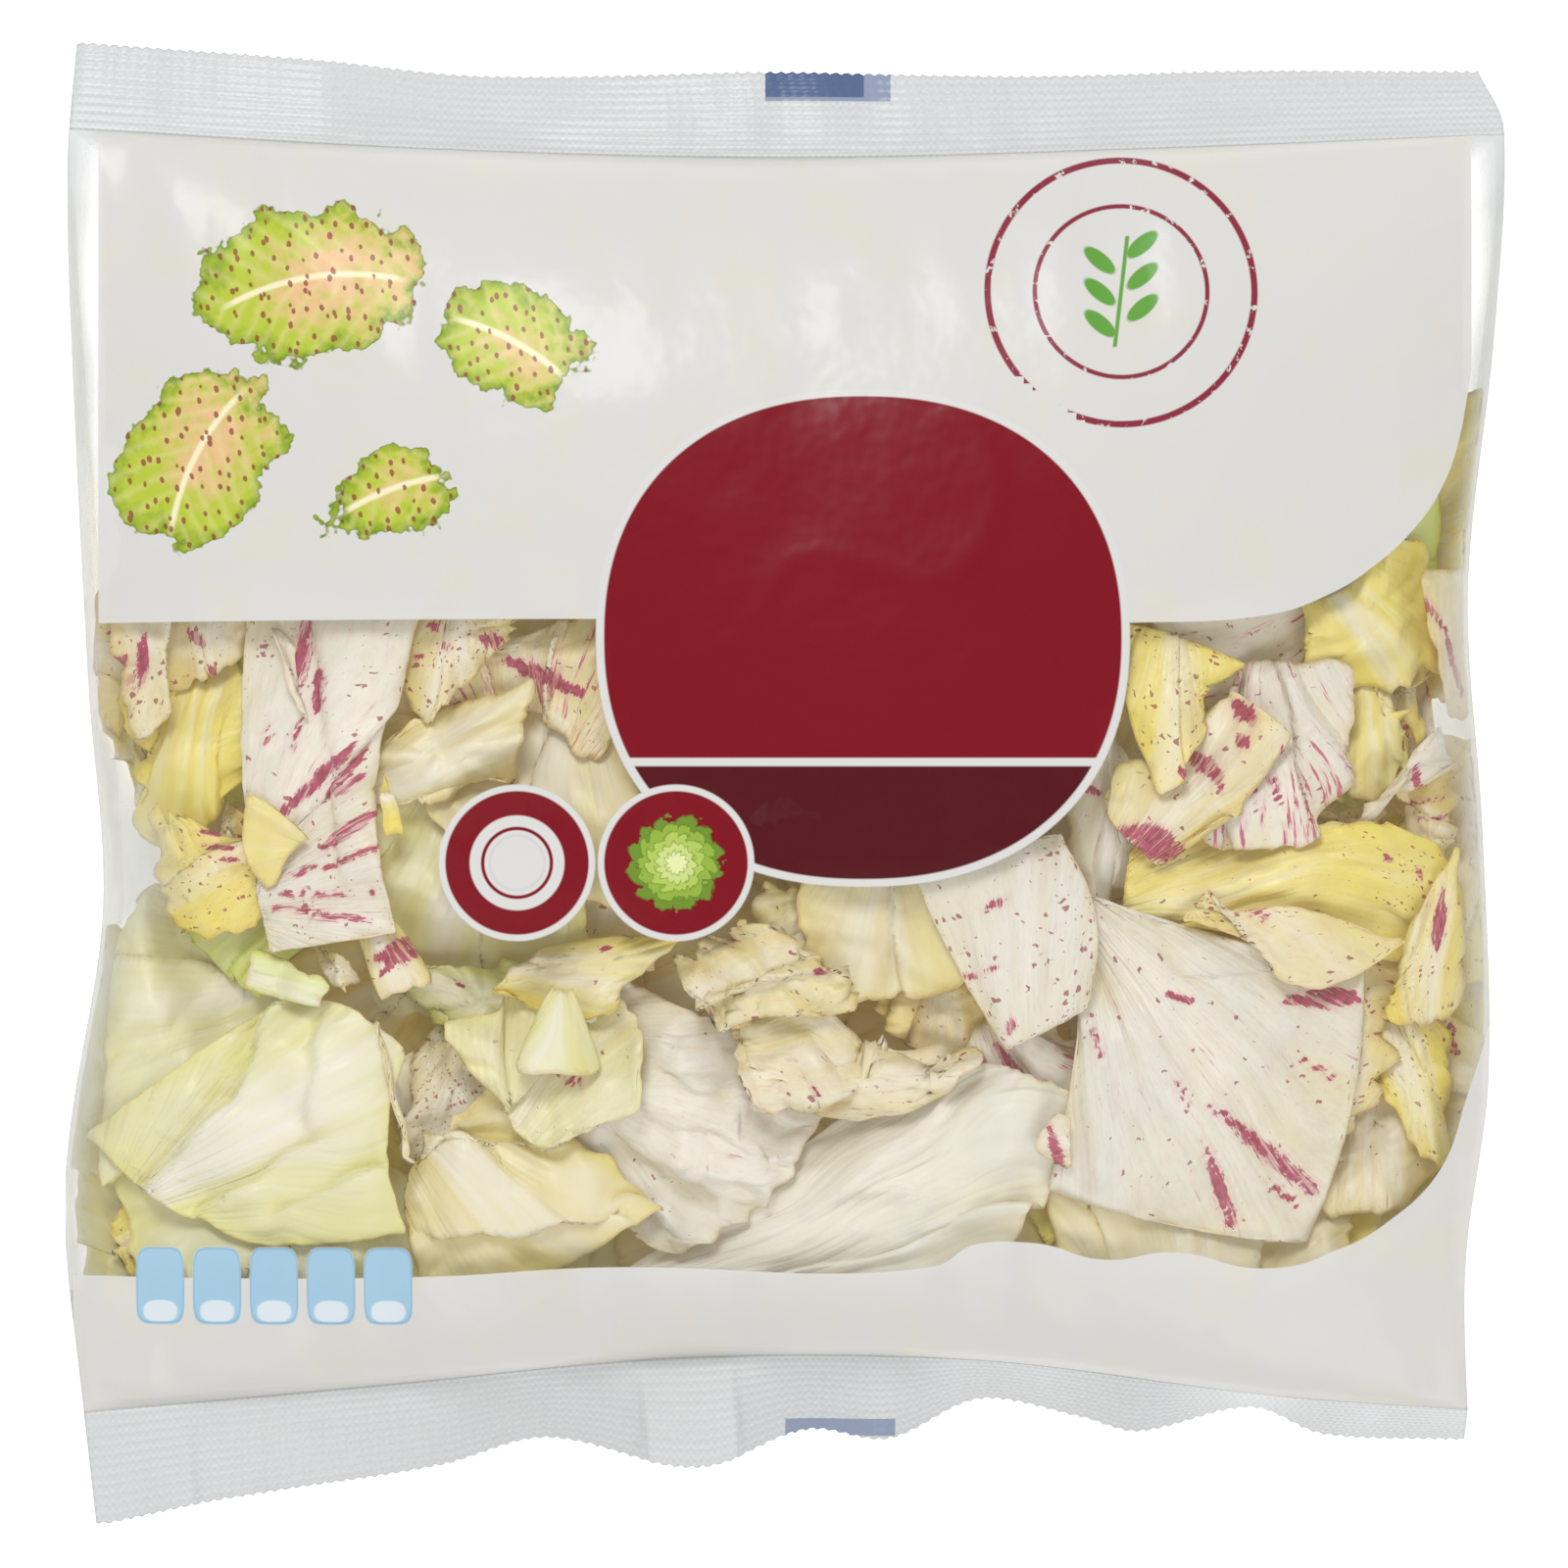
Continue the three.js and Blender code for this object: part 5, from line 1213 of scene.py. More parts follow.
# Each leaf by its solid's name, the highest first, with what it shows:
# tint, and mood, how far it leans to its margin's tint, from -1 to 1; rib, how strong its middle rib is;
# root, where its veins fan out from, or turn, the direction of the root, in radians;
# rough, how ragged its sides are, all or each; inset, its room to the bag's outline; cell, its mesh spacing;
# ruffle and crumple, how uneven its margin and the rest lie; relief, its share of the solid's hollows;
# folds, how many are drawn at random; creases, folds by place: from, to, how far it drops on the right of
# that line, and over what distance it comes back; soft, over what width they drop;
# specks and streaks, from 0 to 1; speckled, spots of specks: x, y, reach and strength;
# strokes, bold marks: from, to, half-width and, where it differs, the half-width at the end;
# rolled, for a leaf rolled up along a line: from, to, its two radii, and where round it the sheet runs.
# A high mood on a deep leaf is partly painted shade, and a low mood on a shaded leaf partly painted light.
LEAVES = {
    "flag": dict(tint="white", root=(-95, -22), streaks=0.35, specks=0.18, rib=0.8, ruffle=0.6, mood=-0.15,
        rough=(0.7, 0.7, 0.6, 0.4), speckled=[(-84, 26, 10, 0.8), (-70, 26, 10, 0.55)],
        creases=[(-79, 30, -73, -16, 1.0, 7)], folds=1, strokes=[(-80.6, 28.8, -81.9, 16.9, 2.6),
        (-78.4, 19, -78.9, 11.8, 2), (-81.9, 10.8, -82.8, 6.2, 1.3), (-87, 10.6, -87.9, 6, 1),
        (-73, 6.2, -85.5, -5.5, 2.1), (-70.4, 6.4, -77.6, -2.4, 1.6), (-71, 1.8, -76, -2.2, 1.2),
        (-69.4, -5, -78, -11, 2.2), (-68.2, -10.5, -77.4, -14.2, 1.2), (-78.7, -14, -84.4, -15.9, 0.9),
        (-69.1, -18.2, -85.7, -18.8, 0.9), (-69.8, -23.3, -86.3, -20.9, 1.3)]),
    "speckled_slab": dict(tint="white", root=(44, -75), streaks=0.3, specks=0.85, rib=0.3, mood=-0.3,
        ruffle=0.4, rough=(0.5, 0.5, 0.8, 0.8), folds=0, creases=[(30, -18, 38, -44, 0.5, 8)],
        strokes=[(38, -42, 38.6, -39.6, 1.4), (33, -21, 40, -19, 0.8), (30, -33, 36, -31, 0.9)]),
    "folded_spotted": dict(tint="cream", root=(60, -5), specks=0.4, ruffle=0.6, mood=0.1,
        speckled=[(72, -20, 7, 0.9), (98, -27, 8, 0.8)], strokes=[(79.4, -20, 81, -22.6, 2.4)]),
    "streaked_square": dict(tint="white", root=(46, -14), streaks=0.3, specks=0.12, mood=-0.25, ruffle=0.5,
        folds=0, creases=[(66, -31, 94, -29.5, 0.9, 9), (60, -30, 74, -52, 0.35, 9)],
        rough=(0.3, 0.3, 0.5, 0.5), strokes=[(84.6, -36.6, 97.5, -37.1, 2.2), (89.5, -35, 96.8, -35.4, 1.3),
        (64.3, -35.3, 69, -36.8, 1.2), (52.2, -41.6, 53.6, -45.8, 1.1), (65.1, -49.1, 68.6, -54.4, 0.9),
        (87.6, -46.8, 94.6, -50.7, 0.9), (72, -54.2, 89.5, -68.6, 1.3, 3.6), (81.6, -67.5, 87.2, -71.5, 1.3),
        (71, -60.5, 76, -74.4, 1.2, 3)]),
    "yellow_tongue": dict(tint="yellow", root=(66, 40), specks=0.7, mood=0.2, rough=(0.6, 1, 0.8, 0.8),
        strokes=[(66.3, 2.6, 67.8, 1, 1.2)]),
    "blotched": dict(tint="cream", root=(52, -20), specks=0.2, mood=-0.1, rough=(0.5, 0.5, 0.8, 0.8),
        ruffle=0.6, strokes=[(76.5, 13.6, 79.5, 10.6, 3), (77, 8, 78.4, 6, 2.2), (69, 4.6, 73.6, 1.6, 3.2),
        (72.6, 2.4, 74, -0.4, 2), (64.4, 4.8, 68, 3.6, 2.6), (57.6, -8, 65, -9, 3.6),
        (59, -11, 68.4, -11.8, 3.2), (84, 6, 85.4, 4.6, 1.2), (85, 0, 80.4, -4.6, 1.3),
        (66, -19.6, 67, -20, 1)]),
    "tube": dict(tint="pale", rolled=((-37.6, -33.8), (-38.2, -50), (1.5, 7.4), (-0.6, 3.9)), streaks=0.15,
        mood=-0.2, rough=(0.4, 0.4, 0.3, 0.9), ruffle=0.5, crumple=0.4, turn=-1.6),
    "green_roll": dict(tint="green", rolled=((-93.5, -30.4), (-76.5, -35.6), (3.6, 2.2), (-0.5, 4.0)),
        mood=-0.2, rough=(0.5, 0.5, 0.8, 0.5), ruffle=0.6, crumple=0.5, turn=-1.6),
    "draped": dict(tint="pale", root=(-117, -78), streaks=0.0, specks=0.0, rib=0.9, mood=0.1, ruffle=0.6,
        soft=3.2, rough=(0.5, 0.5, 0.6, 0.5), crumple=0.7, creases=[(-84.5, -37.8, -92.1, -55.5, 3.2, 7),
        (-92.1, -55.5, -111.9, -74.9, 3.2, 6), (-78, -62.8, -99.8, -74.1, 2.6, 5),
        (-66.7, -66.8, -86.1, -74.1, 2.4, 5), (-76, -40, -80, -58, 1.6, 5)], folds=0),
    "wavy_strip": dict(tint="yellow", root=(-60, -30), specks=0.12, ruffle=1.6, mood=0.1,
        strokes=[(-31, -28.4, -29, -27.6, 0.8)]),
    "jagged": dict(tint="cream", root=(-50, -46), specks=0.25, ruffle=2.2, rough=(1.5, 2.2, 1.8, 2.2),
        mood=0.2, crumple=1.3, folds=3, strokes=[(5, -32, 8, -31, 0.9), (-9, -26.6, -6, -26, 0.8)]),
    "ruffled": dict(tint="cream", root=(-40, -58), specks=0.1, streaks=0.35, ruffle=2.2, mood=-0.5, folds=0,
        rough=(1.2, 1.2, 1.8, 1.6), creases=[(-6, -54, 13, -45, 2.6, 4), (6, -43, 17, -39, 2.2, 3),
        (14, -40, 28, -47, 2.4, 3), (0, -50, 14, -47, 1.6, 3), (-5, -38, -3, -47, 1.8, 4)],
        strokes=[(-2.6, -36.6, -1.2, -39.4, 0.7), (3.9, -52.2, 7.8, -51.4, 0.6)]),
    "yellow_fold": dict(tint="pale", root=(-50, -62), specks=0.05, ruffle=1.2, mood=-0.5, folds=1,
        strokes=[(-37.4, -50, -34.4, -50.4, 1.5)], creases=[(-50, -54, -33, -36, 2.6, 6),
        (-44, -60, -24, -52, 2.0, 5)]),
    "spotted_tip": dict(tint="cream", root=(-108, 50), specks=0.35, rough=(0.8, 0.8, 1.0, 1.0), mood=0.1,
        strokes=[(-108.8, 25, -108.9, 16.6, 2), (-116, 20, -112, 21, 2.4), (-111, 18.8, -110.8, 16, 1.2)]),
    "cream_corner": dict(tint="cream", root=(-96, 46), specks=0.25, rough=(0.6, 0.8, 1.2, 1.0),
        strokes=[(-100.8, 26, -98.4, 23.6, 1.7), (-97.5, 20.6, -96.4, 18, 1.2)]),
    "spotted_top": dict(tint="cream", root=(-54, 44), specks=0.55, mood=0.1, rough=(0.7, 1.0, 1.2, 1.0),
        strokes=[(-50.5, 24.6, -48, 23.8, 2.8), (-60, 26.8, -57.4, 26.2, 1.6), (-58, 23.4, -56.4, 23, 1.2),
        (-62.4, 22, -60.8, 21.4, 1.2), (-60.5, 29.6, -55, 29.8, 1.3)]),
    "purple_roll": dict(tint="cream", rolled=((-69.5, -23.5), (-62.6, -36.6), (3.0, 4.6), (-0.5, 4.1)),
        streaks=0.2, specks=0.2, mood=0.1, rough=(0.4, 0.4, 0.4, 0.8), ruffle=0.5, crumple=0.4, turn=-1.6,
        strokes=[(-68.5, -29.6, -62.2, -28.6, 2.6), (-66.6, -27.8, -63.4, -26.6, 2.2),
        (-67.8, -32, -66, -30.5, 1.2)]),
    "cream_wedge": dict(tint="cream", root=(-70, -60), specks=0.05, mood=0.35, rough=(0.6, 0.8, 0.6, 0.6),
        creases=[(-60, -74, -30, -72, 2.2, 6), (-66, -64, -38, -60, 2.0, 6)]),
    "white_fan": dict(tint="white", root=(-50, -42), streaks=0.22, rib=1.0, mood=-0.7, crumple=1.2,
        rough=(1.0, 1.3, 1.3, 1.3), folds=0, soft=2.8,
        creases=[(-20, -47, 4, -56, 1.7, 5), (-25, -53, 1, -62, 1.8, 5), (-28, -58, -10, -68, 1.5, 5),
        (-22, -64, -3, -66, 1.2, 4), (-30, -66, -16, -76, 1.4, 5)]),
    "white_rib": dict(tint="white", root=(-70, -108), streaks=0.12, specks=0.02, rib=0.9, mood=-0.35,
        ruffle=0.4, rough=(0.3, 0.5, 0.6, 0.6), creases=[(-18, -82, 34, -58, 0.6, 9)], folds=1, soft=3),
    "purple_ribbed": dict(tint="white", root=(80, 44), streaks=0.85, specks=0.1, mood=-0.4,
        rough=(0.6, 0.5, 0.8, 0.6), strokes=[(73, -1, 72, -6.4, 1.4), (79, 2, 80, -4.6, 1.1),
        (82, 4, 84, -4, 1), (76, 0, 77, -5.4, 0.9)]),
    "right_upright": dict(tint="yellow", root=(110, -60), specks=0.4, folds=0, ruffle=0.7, mood=-0.1,
        rough=(0.5, 0.6, 0.6, 0.6), strokes=[(112, -18, 110.6, -28, 1.5)]),
    "big_yellow": dict(tint="yellow", root=(50, -20), specks=0.08, mood=-0.15, ruffle=0.5, rib=0.2, folds=1,
        rough=(0.5, 0.6, 0.8, 0.6), speckled=[(106, -18, 7, 0.8), (99, -11, 6, 0.5)],
        strokes=[(107.5, -14.5, 108.6, -16.4, 0.9), (101.5, -12, 102.6, -13, 1)]),
    "white_lobe": dict(tint="white", root=(58, 20), streaks=0.25, mood=-0.3, ruffle=0.9,
        strokes=[(50.5, -0.6, 53.4, -1.4, 1.5), (47, -12, 48.4, -13.6, 1.3)]),
    "yellow_corner": dict(tint="yellow", root=(92, 40), specks=0.08, ruffle=1.5, mood=0.4, crumple=1.3),
    "spoon": dict(tint="white", root=(92, -8), streaks=0.1, strokes=[(107, 3.4, 107.6, -1.6, 1.3)]),
    "pale_lobe": dict(tint="yellow", root=(98, 46), specks=0.05, mood=-0.3, rib=0.3, crumple=1.3, ruffle=1.3,
        rough=1.3),
    "green_ruffle": dict(tint="green", root=(-66, -36), specks=0.1, ruffle=1.8, mood=0.2,
        strokes=[(-55.6, -33.8, -54, -34.4, 1)]),
    "white_curl": dict(tint="cream", root=(-74, -4), ruffle=1.8, streaks=0.1, mood=-0.2),
    "pink_arch": dict(tint="cream", root=(-46, -10), streaks=0.6, specks=0.1, mood=-0.2,
        strokes=[(-46.5, 21, -34.2, 15.4, 2.6)]),
    "yellow_middle": dict(tint="yellow", root=(-80, -6), specks=0.35, ruffle=1.2, mood=0.1,
        strokes=[(-98.6, -8.2, -92.5, -8.6, 1.1), (-98.4, -10.4, -93.5, -10.9, 1.1),
        (-96, -12.8, -92, -12.9, 0.8)]),
    "green_middle": dict(tint="green", root=(-76, -14), mood=0.6, ruffle=0.9, rib=0.2),
    "pale_large": dict(tint="pale", root=(-80, -36), mood=-0.6, rib=0.4, folds=1, relief=0.25,
        rough=(0.6, 0.8, 0.6, 0.6)),
    "yellow_left": dict(tint="yellow", root=(-98, 34), specks=0.1, mood=0.5, ruffle=1.1, rib=0.2),
    "purple_stripe": dict(tint="white", root=(30, -36), streaks=0.55, mood=-0.2,
        strokes=[(35.8, -44.4, 43, -53.4, 1.9), (33.7, -46, 35.2, -50.6, 1)]),
    "cream_post": dict(tint="cream", root=(20, 0), streaks=0.15, folds=1),
    "olive_cup": dict(tint="cream_in_painted_shade", root=(26, -24), mood=0.5, specks=0.15),
    "speckled_low": dict(tint="white", root=(-52, -40), specks=0.8, mood=0.1),
    "pink_band": dict(tint="white", root=(100, 30), streaks=0.6, specks=0.15),
    "speckled_mid": dict(tint="cream", root=(98, -64), specks=0.45, streaks=0.4, mood=0.1),
    "yellow_ruffle": dict(tint="yellow", root=(106, -34), specks=0.35, ruffle=1.6, mood=0.3),
    "pink_bowl": dict(tint="cream", root=(100, -50), streaks=0.3, mood=-0.1),
    "brown_lined": dict(tint="cream_in_painted_shade", root=(118, -10), specks=0.15, mood=0.7,
        strokes=[(106.4, -3.4, 112, -2.4, 0.8), (105, -11.8, 111.5, -11, 1), (108, -6, 112.4, -5.6, 0.7)]),
    "under_square": dict(tint="cream", root=(70, -100), mood=-0.3),
    "lower_right": dict(tint="yellow", root=(102, -50), mood=-0.1),
    "low_left": dict(tint="pale", root=(-80, -56)),
    "cream_under": dict(tint="cream", root=(-38, 30), mood=0.1, rib=0.6),
    "veined_deep": dict(tint="pale", root=(-50, 12), mood=0.5, rib=0.7, crumple=1.3, relief=0.3),
    "upper_1": dict(tint="pale", cell=HIDDEN_CELL),
    "upper_2": dict(tint="yellow", cell=HIDDEN_CELL),
    "upper_3": dict(tint="white", cell=HIDDEN_CELL),
    "upper_4": dict(tint="green", cell=1.2),
}

# The leaves that lie on the back film, back_1 first, and the scraps there: name, four corners and tint.
BACK_LEAVES = [
    dict(tint="pale", specks=0.05), dict(tint="yellow", specks=0.4, streaks=0.2),
    dict(tint="white", streaks=0.7), dict(tint="green", specks=0.1),
    dict(tint="cream", specks=0.5, streaks=0.4), dict(tint="pale", streaks=0.3),
]
BACK_SCRAPS = [
    ("back_a", [(-104, 30), (-82, 34), (-78, 8), (-100, 2)], "white", dict(streaks=0.6, mood=-0.2)),
    ("back_b", [(-70, -20), (-48, -14), (-44, -44), (-66, -50)], "cream", dict(specks=0.6, streaks=0.3)),
    ("back_c", [(-30, 12), (-8, 22), (0, -6), (-24, -14)], "pale", dict(mood=0.2)),
    ("back_d", [(18, -52), (44, -46), (50, -74), (22, -80)], "yellow", dict(specks=0.4)),
    ("back_e", [(-100, -50), (-80, -46), (-76, -72), (-98, -76)], "cream", dict(specks=0.4, streaks=0.5)),
    ("back_f", [(16, 50), (40, 54), (44, 28), (20, 26)], "white", dict(streaks=0.5)),
]


def at_side(rough=0.5, **shows):
    """What a scrap at the bag's sides shows. It goes nearer to the outline than others."""
    return dict(shows, inset=LEAST_EDGE_ROOM, rough=rough)


# Scraps of leaf over and under the larger ones: name, four corners, tint, bow, and what each shows.
OVER = [
    ("draped_curl", [(-69.5, -38.5), (-66, -39.5), (-58.6, -66), (-63.5, -63)], "pale", 0.6, dict(mood=-0.2,
        rough=0.4, ruffle=0.8, crumple=0.5, folds=0, root=(-80, -10),
        creases=[(-66.5, -40, -61.5, -64, 1.6, 3)])),
    ("stripe_tip", [(41, -63), (45.5, -55), (49.5, -56), (49.5, -67.5)], "white", 0.3, dict(mood=-0.3,
        rough=0.3, ruffle=0.4, crumple=0.4, folds=0, strokes=[(44.9, -58, 47.4, -67.4, 1.9)])),
    ("sliver_top", [(-69.3, 2.8), (-66.5, 2.2), (-63.6, -9.5), (-68, -11.6)], "yellow", 0.5, dict(mood=0.3,
        rough=0.4, ruffle=0.6, crumple=0.5, folds=1, specks=0.1)),
    ("edge_stripe", [(105.5, 37), (117, 37), (119, 11), (112.5, 9)], "cream", 0.6, at_side(ruffle=0.8,
        folds=1, root=(112, 70), strokes=[(106.6, 34, 112.2, 26, 1.1), (112, 26.4, 115.2, 15, 1.1)])),
    ("flap", [(-93.6, -3), (-80.4, -10), (-86.8, -19), (-91.4, -12.4)], "cream", 0.4, dict(mood=0.3,
        rough=0.1, ruffle=0.3, crumple=0.4, rib=0.0)),
    ("flag_curl", [(-89.5, 27.5), (-83, 27.5), (-79.4, 9.5), (-83.5, 11.5)], "white", 0.8, dict(mood=-0.2,
        rough=(0.6, 0.6, 0.3, 0.3), ruffle=1.2, specks=0.3, streaks=0.3, root=(-80, 0),
        strokes=[(-83.6, 13, -81.4, 9.6, 1.6)])),
]
UNDER = [
    ("twist", [(-98, 4.2), (-91.7, 10.3), (-89.7, 4.2), (-93.3, -0.3)], "yellow", 1.5, dict(mood=0.3,
        ruffle=1.4)),
    ("pale_left", [(-113, 12), (-106.7, 12), (-103, -7), (-112.5, -6.2)], "cream", 2.0, dict(mood=-0.2)),
    ("speckled_curl_in_painted_shade", [(-101, -4.2), (-91, 0.3), (-88, -12.7), (-99.5, -11.3)], "cream_in_painted_shade", 2.0, dict(mood=0.7,
        specks=0.8, ruffle=1.5)),
    ("left_speck", [(-112, -15), (-100, -19), (-104, -29), (-112, -30)], "cream", 1.0, dict(mood=0.2,
        specks=0.7, strokes=[(-106, -20, -103.6, -21, 1.4)])),
    ("sliver", [(-69, -36), (-59, -50), (-60, -63), (-71, -48)], "cream", 1.5, dict(mood=0.2)),
    ("roll_cream", [(-82, -25), (-75, -27), (-70, -35.3), (-75, -40.5)], "cream", 1.5, dict(mood=0.1,
        streaks=0.4, specks=0.4)),
    ("sliver_green", [(-71, 2.5), (-65, 1), (-62, -12), (-68.6, -11)], "yellow", 1.5, dict(mood=0.5,
        specks=0.15)),
    ("badge_speck", [(-36, 11), (-25, 12), (-22, -17), (-33, -15)], "yellow", 1.5, dict(mood=0.1, specks=0.6,
        streaks=0.4, strokes=[(-29.3, 9.6, -28, -2.4, 1.8), (-33, 8, -32, 2, 1.1)])),
    ("low_curl", [(-65, -40), (-53, -41), (-54, -50), (-63, -53)], "green", 1.5, dict(mood=0.3, specks=0.3)),
    ("deep_a", [(-8, -13), (7, -14), (8, -36), (-7, -36)], "cream", 1.5, dict(mood=0.4, streaks=0.2)),
    ("deep_b", [(13, -14), (31, -15), (33, -34), (14, -38)], "cream", 2.0, dict(mood=0.2)),
    ("deep_c", [(44, -42), (53, -42), (52, -62), (43, -63)], "yellow", 1.5, dict(mood=0.4, specks=0.3,
        strokes=[(44.8, -58.4, 47.3, -67.2, 1.7)])),
    ("deep_d", [(38, -56), (50, -54), (51, -72), (38, -70)], "white", 1.5, dict(specks=0.3,
        strokes=[(44.8, -58.4, 47.3, -67.2, 1.9)])),
    ("olive_low", [(28, -70), (52, -64), (56, -88), (28, -89)], "yellow", 2.0, dict(mood=0.7)),
    ("mid_in_painted_shade", [(-40, -12), (-20, -14), (-20, -33), (-42, -33)], "cream_in_painted_shade", 1.5, dict(mood=0.6, specks=0.3)),
    ("corner_in_painted_shade", [(78, 28), (98, 29), (98, 12), (88, 9)], "cream_in_painted_shade", 2.0, dict(mood=0.8, specks=0.6)),
    ("right_twist", [(102, 24), (112, 25), (112, 6), (104, 4)], "yellow", 2.0, dict(mood=0.2, specks=0.4,
        strokes=[(104.6, 12, 106.6, 7, 1.5)])),
    ("right_edge", [(101, 42), (113, 42), (115, 12), (108, 10)], "yellow", 1.5, dict(mood=0.1, streaks=0.3,
        strokes=[(101.5, 33, 110.5, 14, 1.3)])),
    ("green_hook", [(87, 4), (98, 6), (100, -6), (87, -4)], "green", 2.0, dict(mood=0.3, ruffle=1.6)),
    ("band_right", [(70, -5), (88, -2), (106, -3), (100, -13)], "cream", 2.0, dict(mood=0.1, specks=0.6,
        ruffle=1.4)),
    ("left_low", [(-118, -70), (-104, -70), (-102, -90), (-116, -88)], "yellow", 1.5, dict(mood=0.2,
        strokes=[(-111, -80.5, -107.6, -81, 1.8)])),
    ("side_a", [(-119.5, 34), (-107, 34), (-105, 8), (-117.5, 8)], "cream", 1.0,
        at_side(mood=0.2, specks=0.2)),
    ("side_b", [(-118, 14), (-104, 14), (-103, -7), (-112, -6)], "pale", 1.0,
        at_side(mood=-0.1, ruffle=1.2, rough=0.6)),
    ("side_c", [(-117, -22), (-100, -30), (-100, -62), (-122.5, -60)], "pale", 1.0,
        at_side(mood=0.3, rough=0.4)),
    ("side_d", [(-123, -54), (-100, -60), (-100, -96), (-121, -95)], "pale", 1.0,
        at_side(mood=0.1, rough=0.4)),
    ("side_e", [(106, 68), (123, 68), (122, 22), (104, 22)], "yellow", 1.0, at_side(mood=0.1, streaks=0.3)),
    ("side_f", [(100, 32), (122, 32), (122, -6), (98, -8)], "cream", 1.0, at_side(mood=0.1, streaks=0.3)),
    ("side_g", [(97, 10), (122, 10), (123, -36), (102, -34)], "yellow", 1.0, at_side(mood=0.2, specks=0.3)),
    ("side_h", [(98, -28), (121, -28), (119.5, -64), (100, -64)], "yellow", 1.0,
        at_side(specks=0.3, strokes=[(113, -40, 114.4, -46, 1.2)])),
    ("side_i", [(98, -56), (118, -56), (116, -94), (96, -92)], "cream", 1.5, dict(mood=0.2)),
]
# Most of the deepest leaves take the cream tint with painted shade, the warm shade of the gaps put into their
# colour.
FILL_BOW = 3.0
FILL = [  # the deepest: name, four corners, tint and mood
    ("a", [(-113, 34), (-84, 34), (-80, 0), (-112, -4)], "cream_in_painted_shade", 0.3),
    ("b", [(-88, 34), (-56, 34), (-56, 2), (-88, 0)], "cream_in_painted_shade", 0.4),
    ("c", [(-60, 34), (-26, 34), (-24, -2), (-60, 0)], "yellow", 0.2),
    ("d", [(-90, -22), (-56, -24), (-56, -58), (-92, -52)], "cream_in_painted_shade", 0.4),
    ("e", [(-60, -22), (-24, -14), (-22, -50), (-60, -52)], "cream_in_painted_shade", 0.5),
    ("f", [(-26, -16), (12, -14), (14, -50), (-26, -52)], "cream_in_painted_shade", 0.3),
    ("g", [(8, -14), (48, -12), (50, -48), (8, -52)], "cream_in_painted_shade", 0.4),
    ("h", [(44, 30), (80, 32), (82, -8), (44, -14)], "cream_in_painted_shade", 0.4),
    ("i", [(76, 34), (113, 36), (113, -2), (76, -8)], "yellow", 0.3),
    ("j", [(66, -8), (112, -6), (112, -42), (66, -38)], "cream_in_painted_shade", 0.5),
    ("k", [(88, -36), (112, -36), (111, -88), (86, -88)], "pale", 0.2),
    ("l", [(36, -60), (92, -66), (92, -92), (36, -92)], "yellow", 0.1),
    ("m", [(-30, -60), (40, -54), (42, -90), (-30, -91)], "cream", 0.2),
    ("n", [(-66, -60), (-24, -62), (-24, -92), (-66, -92)], "pale", 0.2),
    ("p", [(-110, 14), (-86, 14), (-84, -24), (-106, -22)], "cream", 0.2),
    ("q", [(92, -12), (118, -12), (118, -64), (92, -64)], "cream", 0.2),
    ("o", [(-114, -46), (-62, -50), (-62, -92), (-112, -92)], "yellow", 0.1),
]
UNDER += [("fill_" + name, corners, tint, FILL_BOW, dict(mood=mood, cell=HIDDEN_CELL))
          for name, corners, tint, mood in FILL]


def scrap_grid(corners, bow, stack, seed):
    """A small leaf's grid of points, draped just below what already lies there."""
    across = math.dist(corners[0], corners[2])
    plan = patch_grid(corners, np.random.default_rng(seed).uniform(-1, 1.2, 4) * min(1, across / 30))
    x, y = plan[..., 0], plan[..., 1]
    a, b = net((-1, 1), (-1, 1), (x.shape[0] - 1, x.shape[1] - 1))
    cover = spread(spread(stack.limit(x, y), 1, np.min), 1, np.mean)
    z = cover - CLEAR_OF_LEAF - BLADE - bow * 0.5 * (a**2 + 0.6 * b**2)
    return np.dstack([x, y, np.maximum(z, back_height(x, y) + SCRAP_BACK_GAP)])


def roll_grid(start, end, radii, turn, stack):
    """A leaf rolled up along a line: a flattened cone, open where the sheet's two sides miss each other."""
    start, end = np.array(start, float), np.array(end, float)
    run = (end - start) / np.linalg.norm(end - start)
    theta, t = net(turn, (0, 1), ROLL_CELLS)
    radius = mix(radii[0], radii[1], t) * (1 + ROLL_UNEVEN * np.sin(theta * 2 + 3 * t))
    side = radius * np.cos(theta)
    x = mix(start[0], end[0], t) - run[1] * side
    y = mix(start[1], end[1], t) + run[0] * side
    top = ROLL_FLAT * mix(radii[0], radii[1], t[0]) * (1 + ROLL_UNEVEN)
    under = stack.limit(x, y).min(axis=0) - CLEAR_OF_LEAF - BLADE / 2 - top
    z = spread(np.tile(under, (2, 1)), 1, np.min)[0] + ROLL_FLAT * radius * np.sin(theta)
    return np.dstack([x, y, z])


LEAF_MATERIALS = {(tint, marked): leaf_material(tint, marked) for tint in TINTS for marked in (False, True)}
stack = Stack()
seeds = itertools.count(FIRST_SEED)


def lay_scraps(rows):
    for name, corners, tint, bow, shows in rows:
        seed = next(seeds)
        grid = scrap_grid(corners, bow, stack, seed)
        leaf_piece("scrap_" + name, grid, dict(shows, tint=tint), seed, stack)


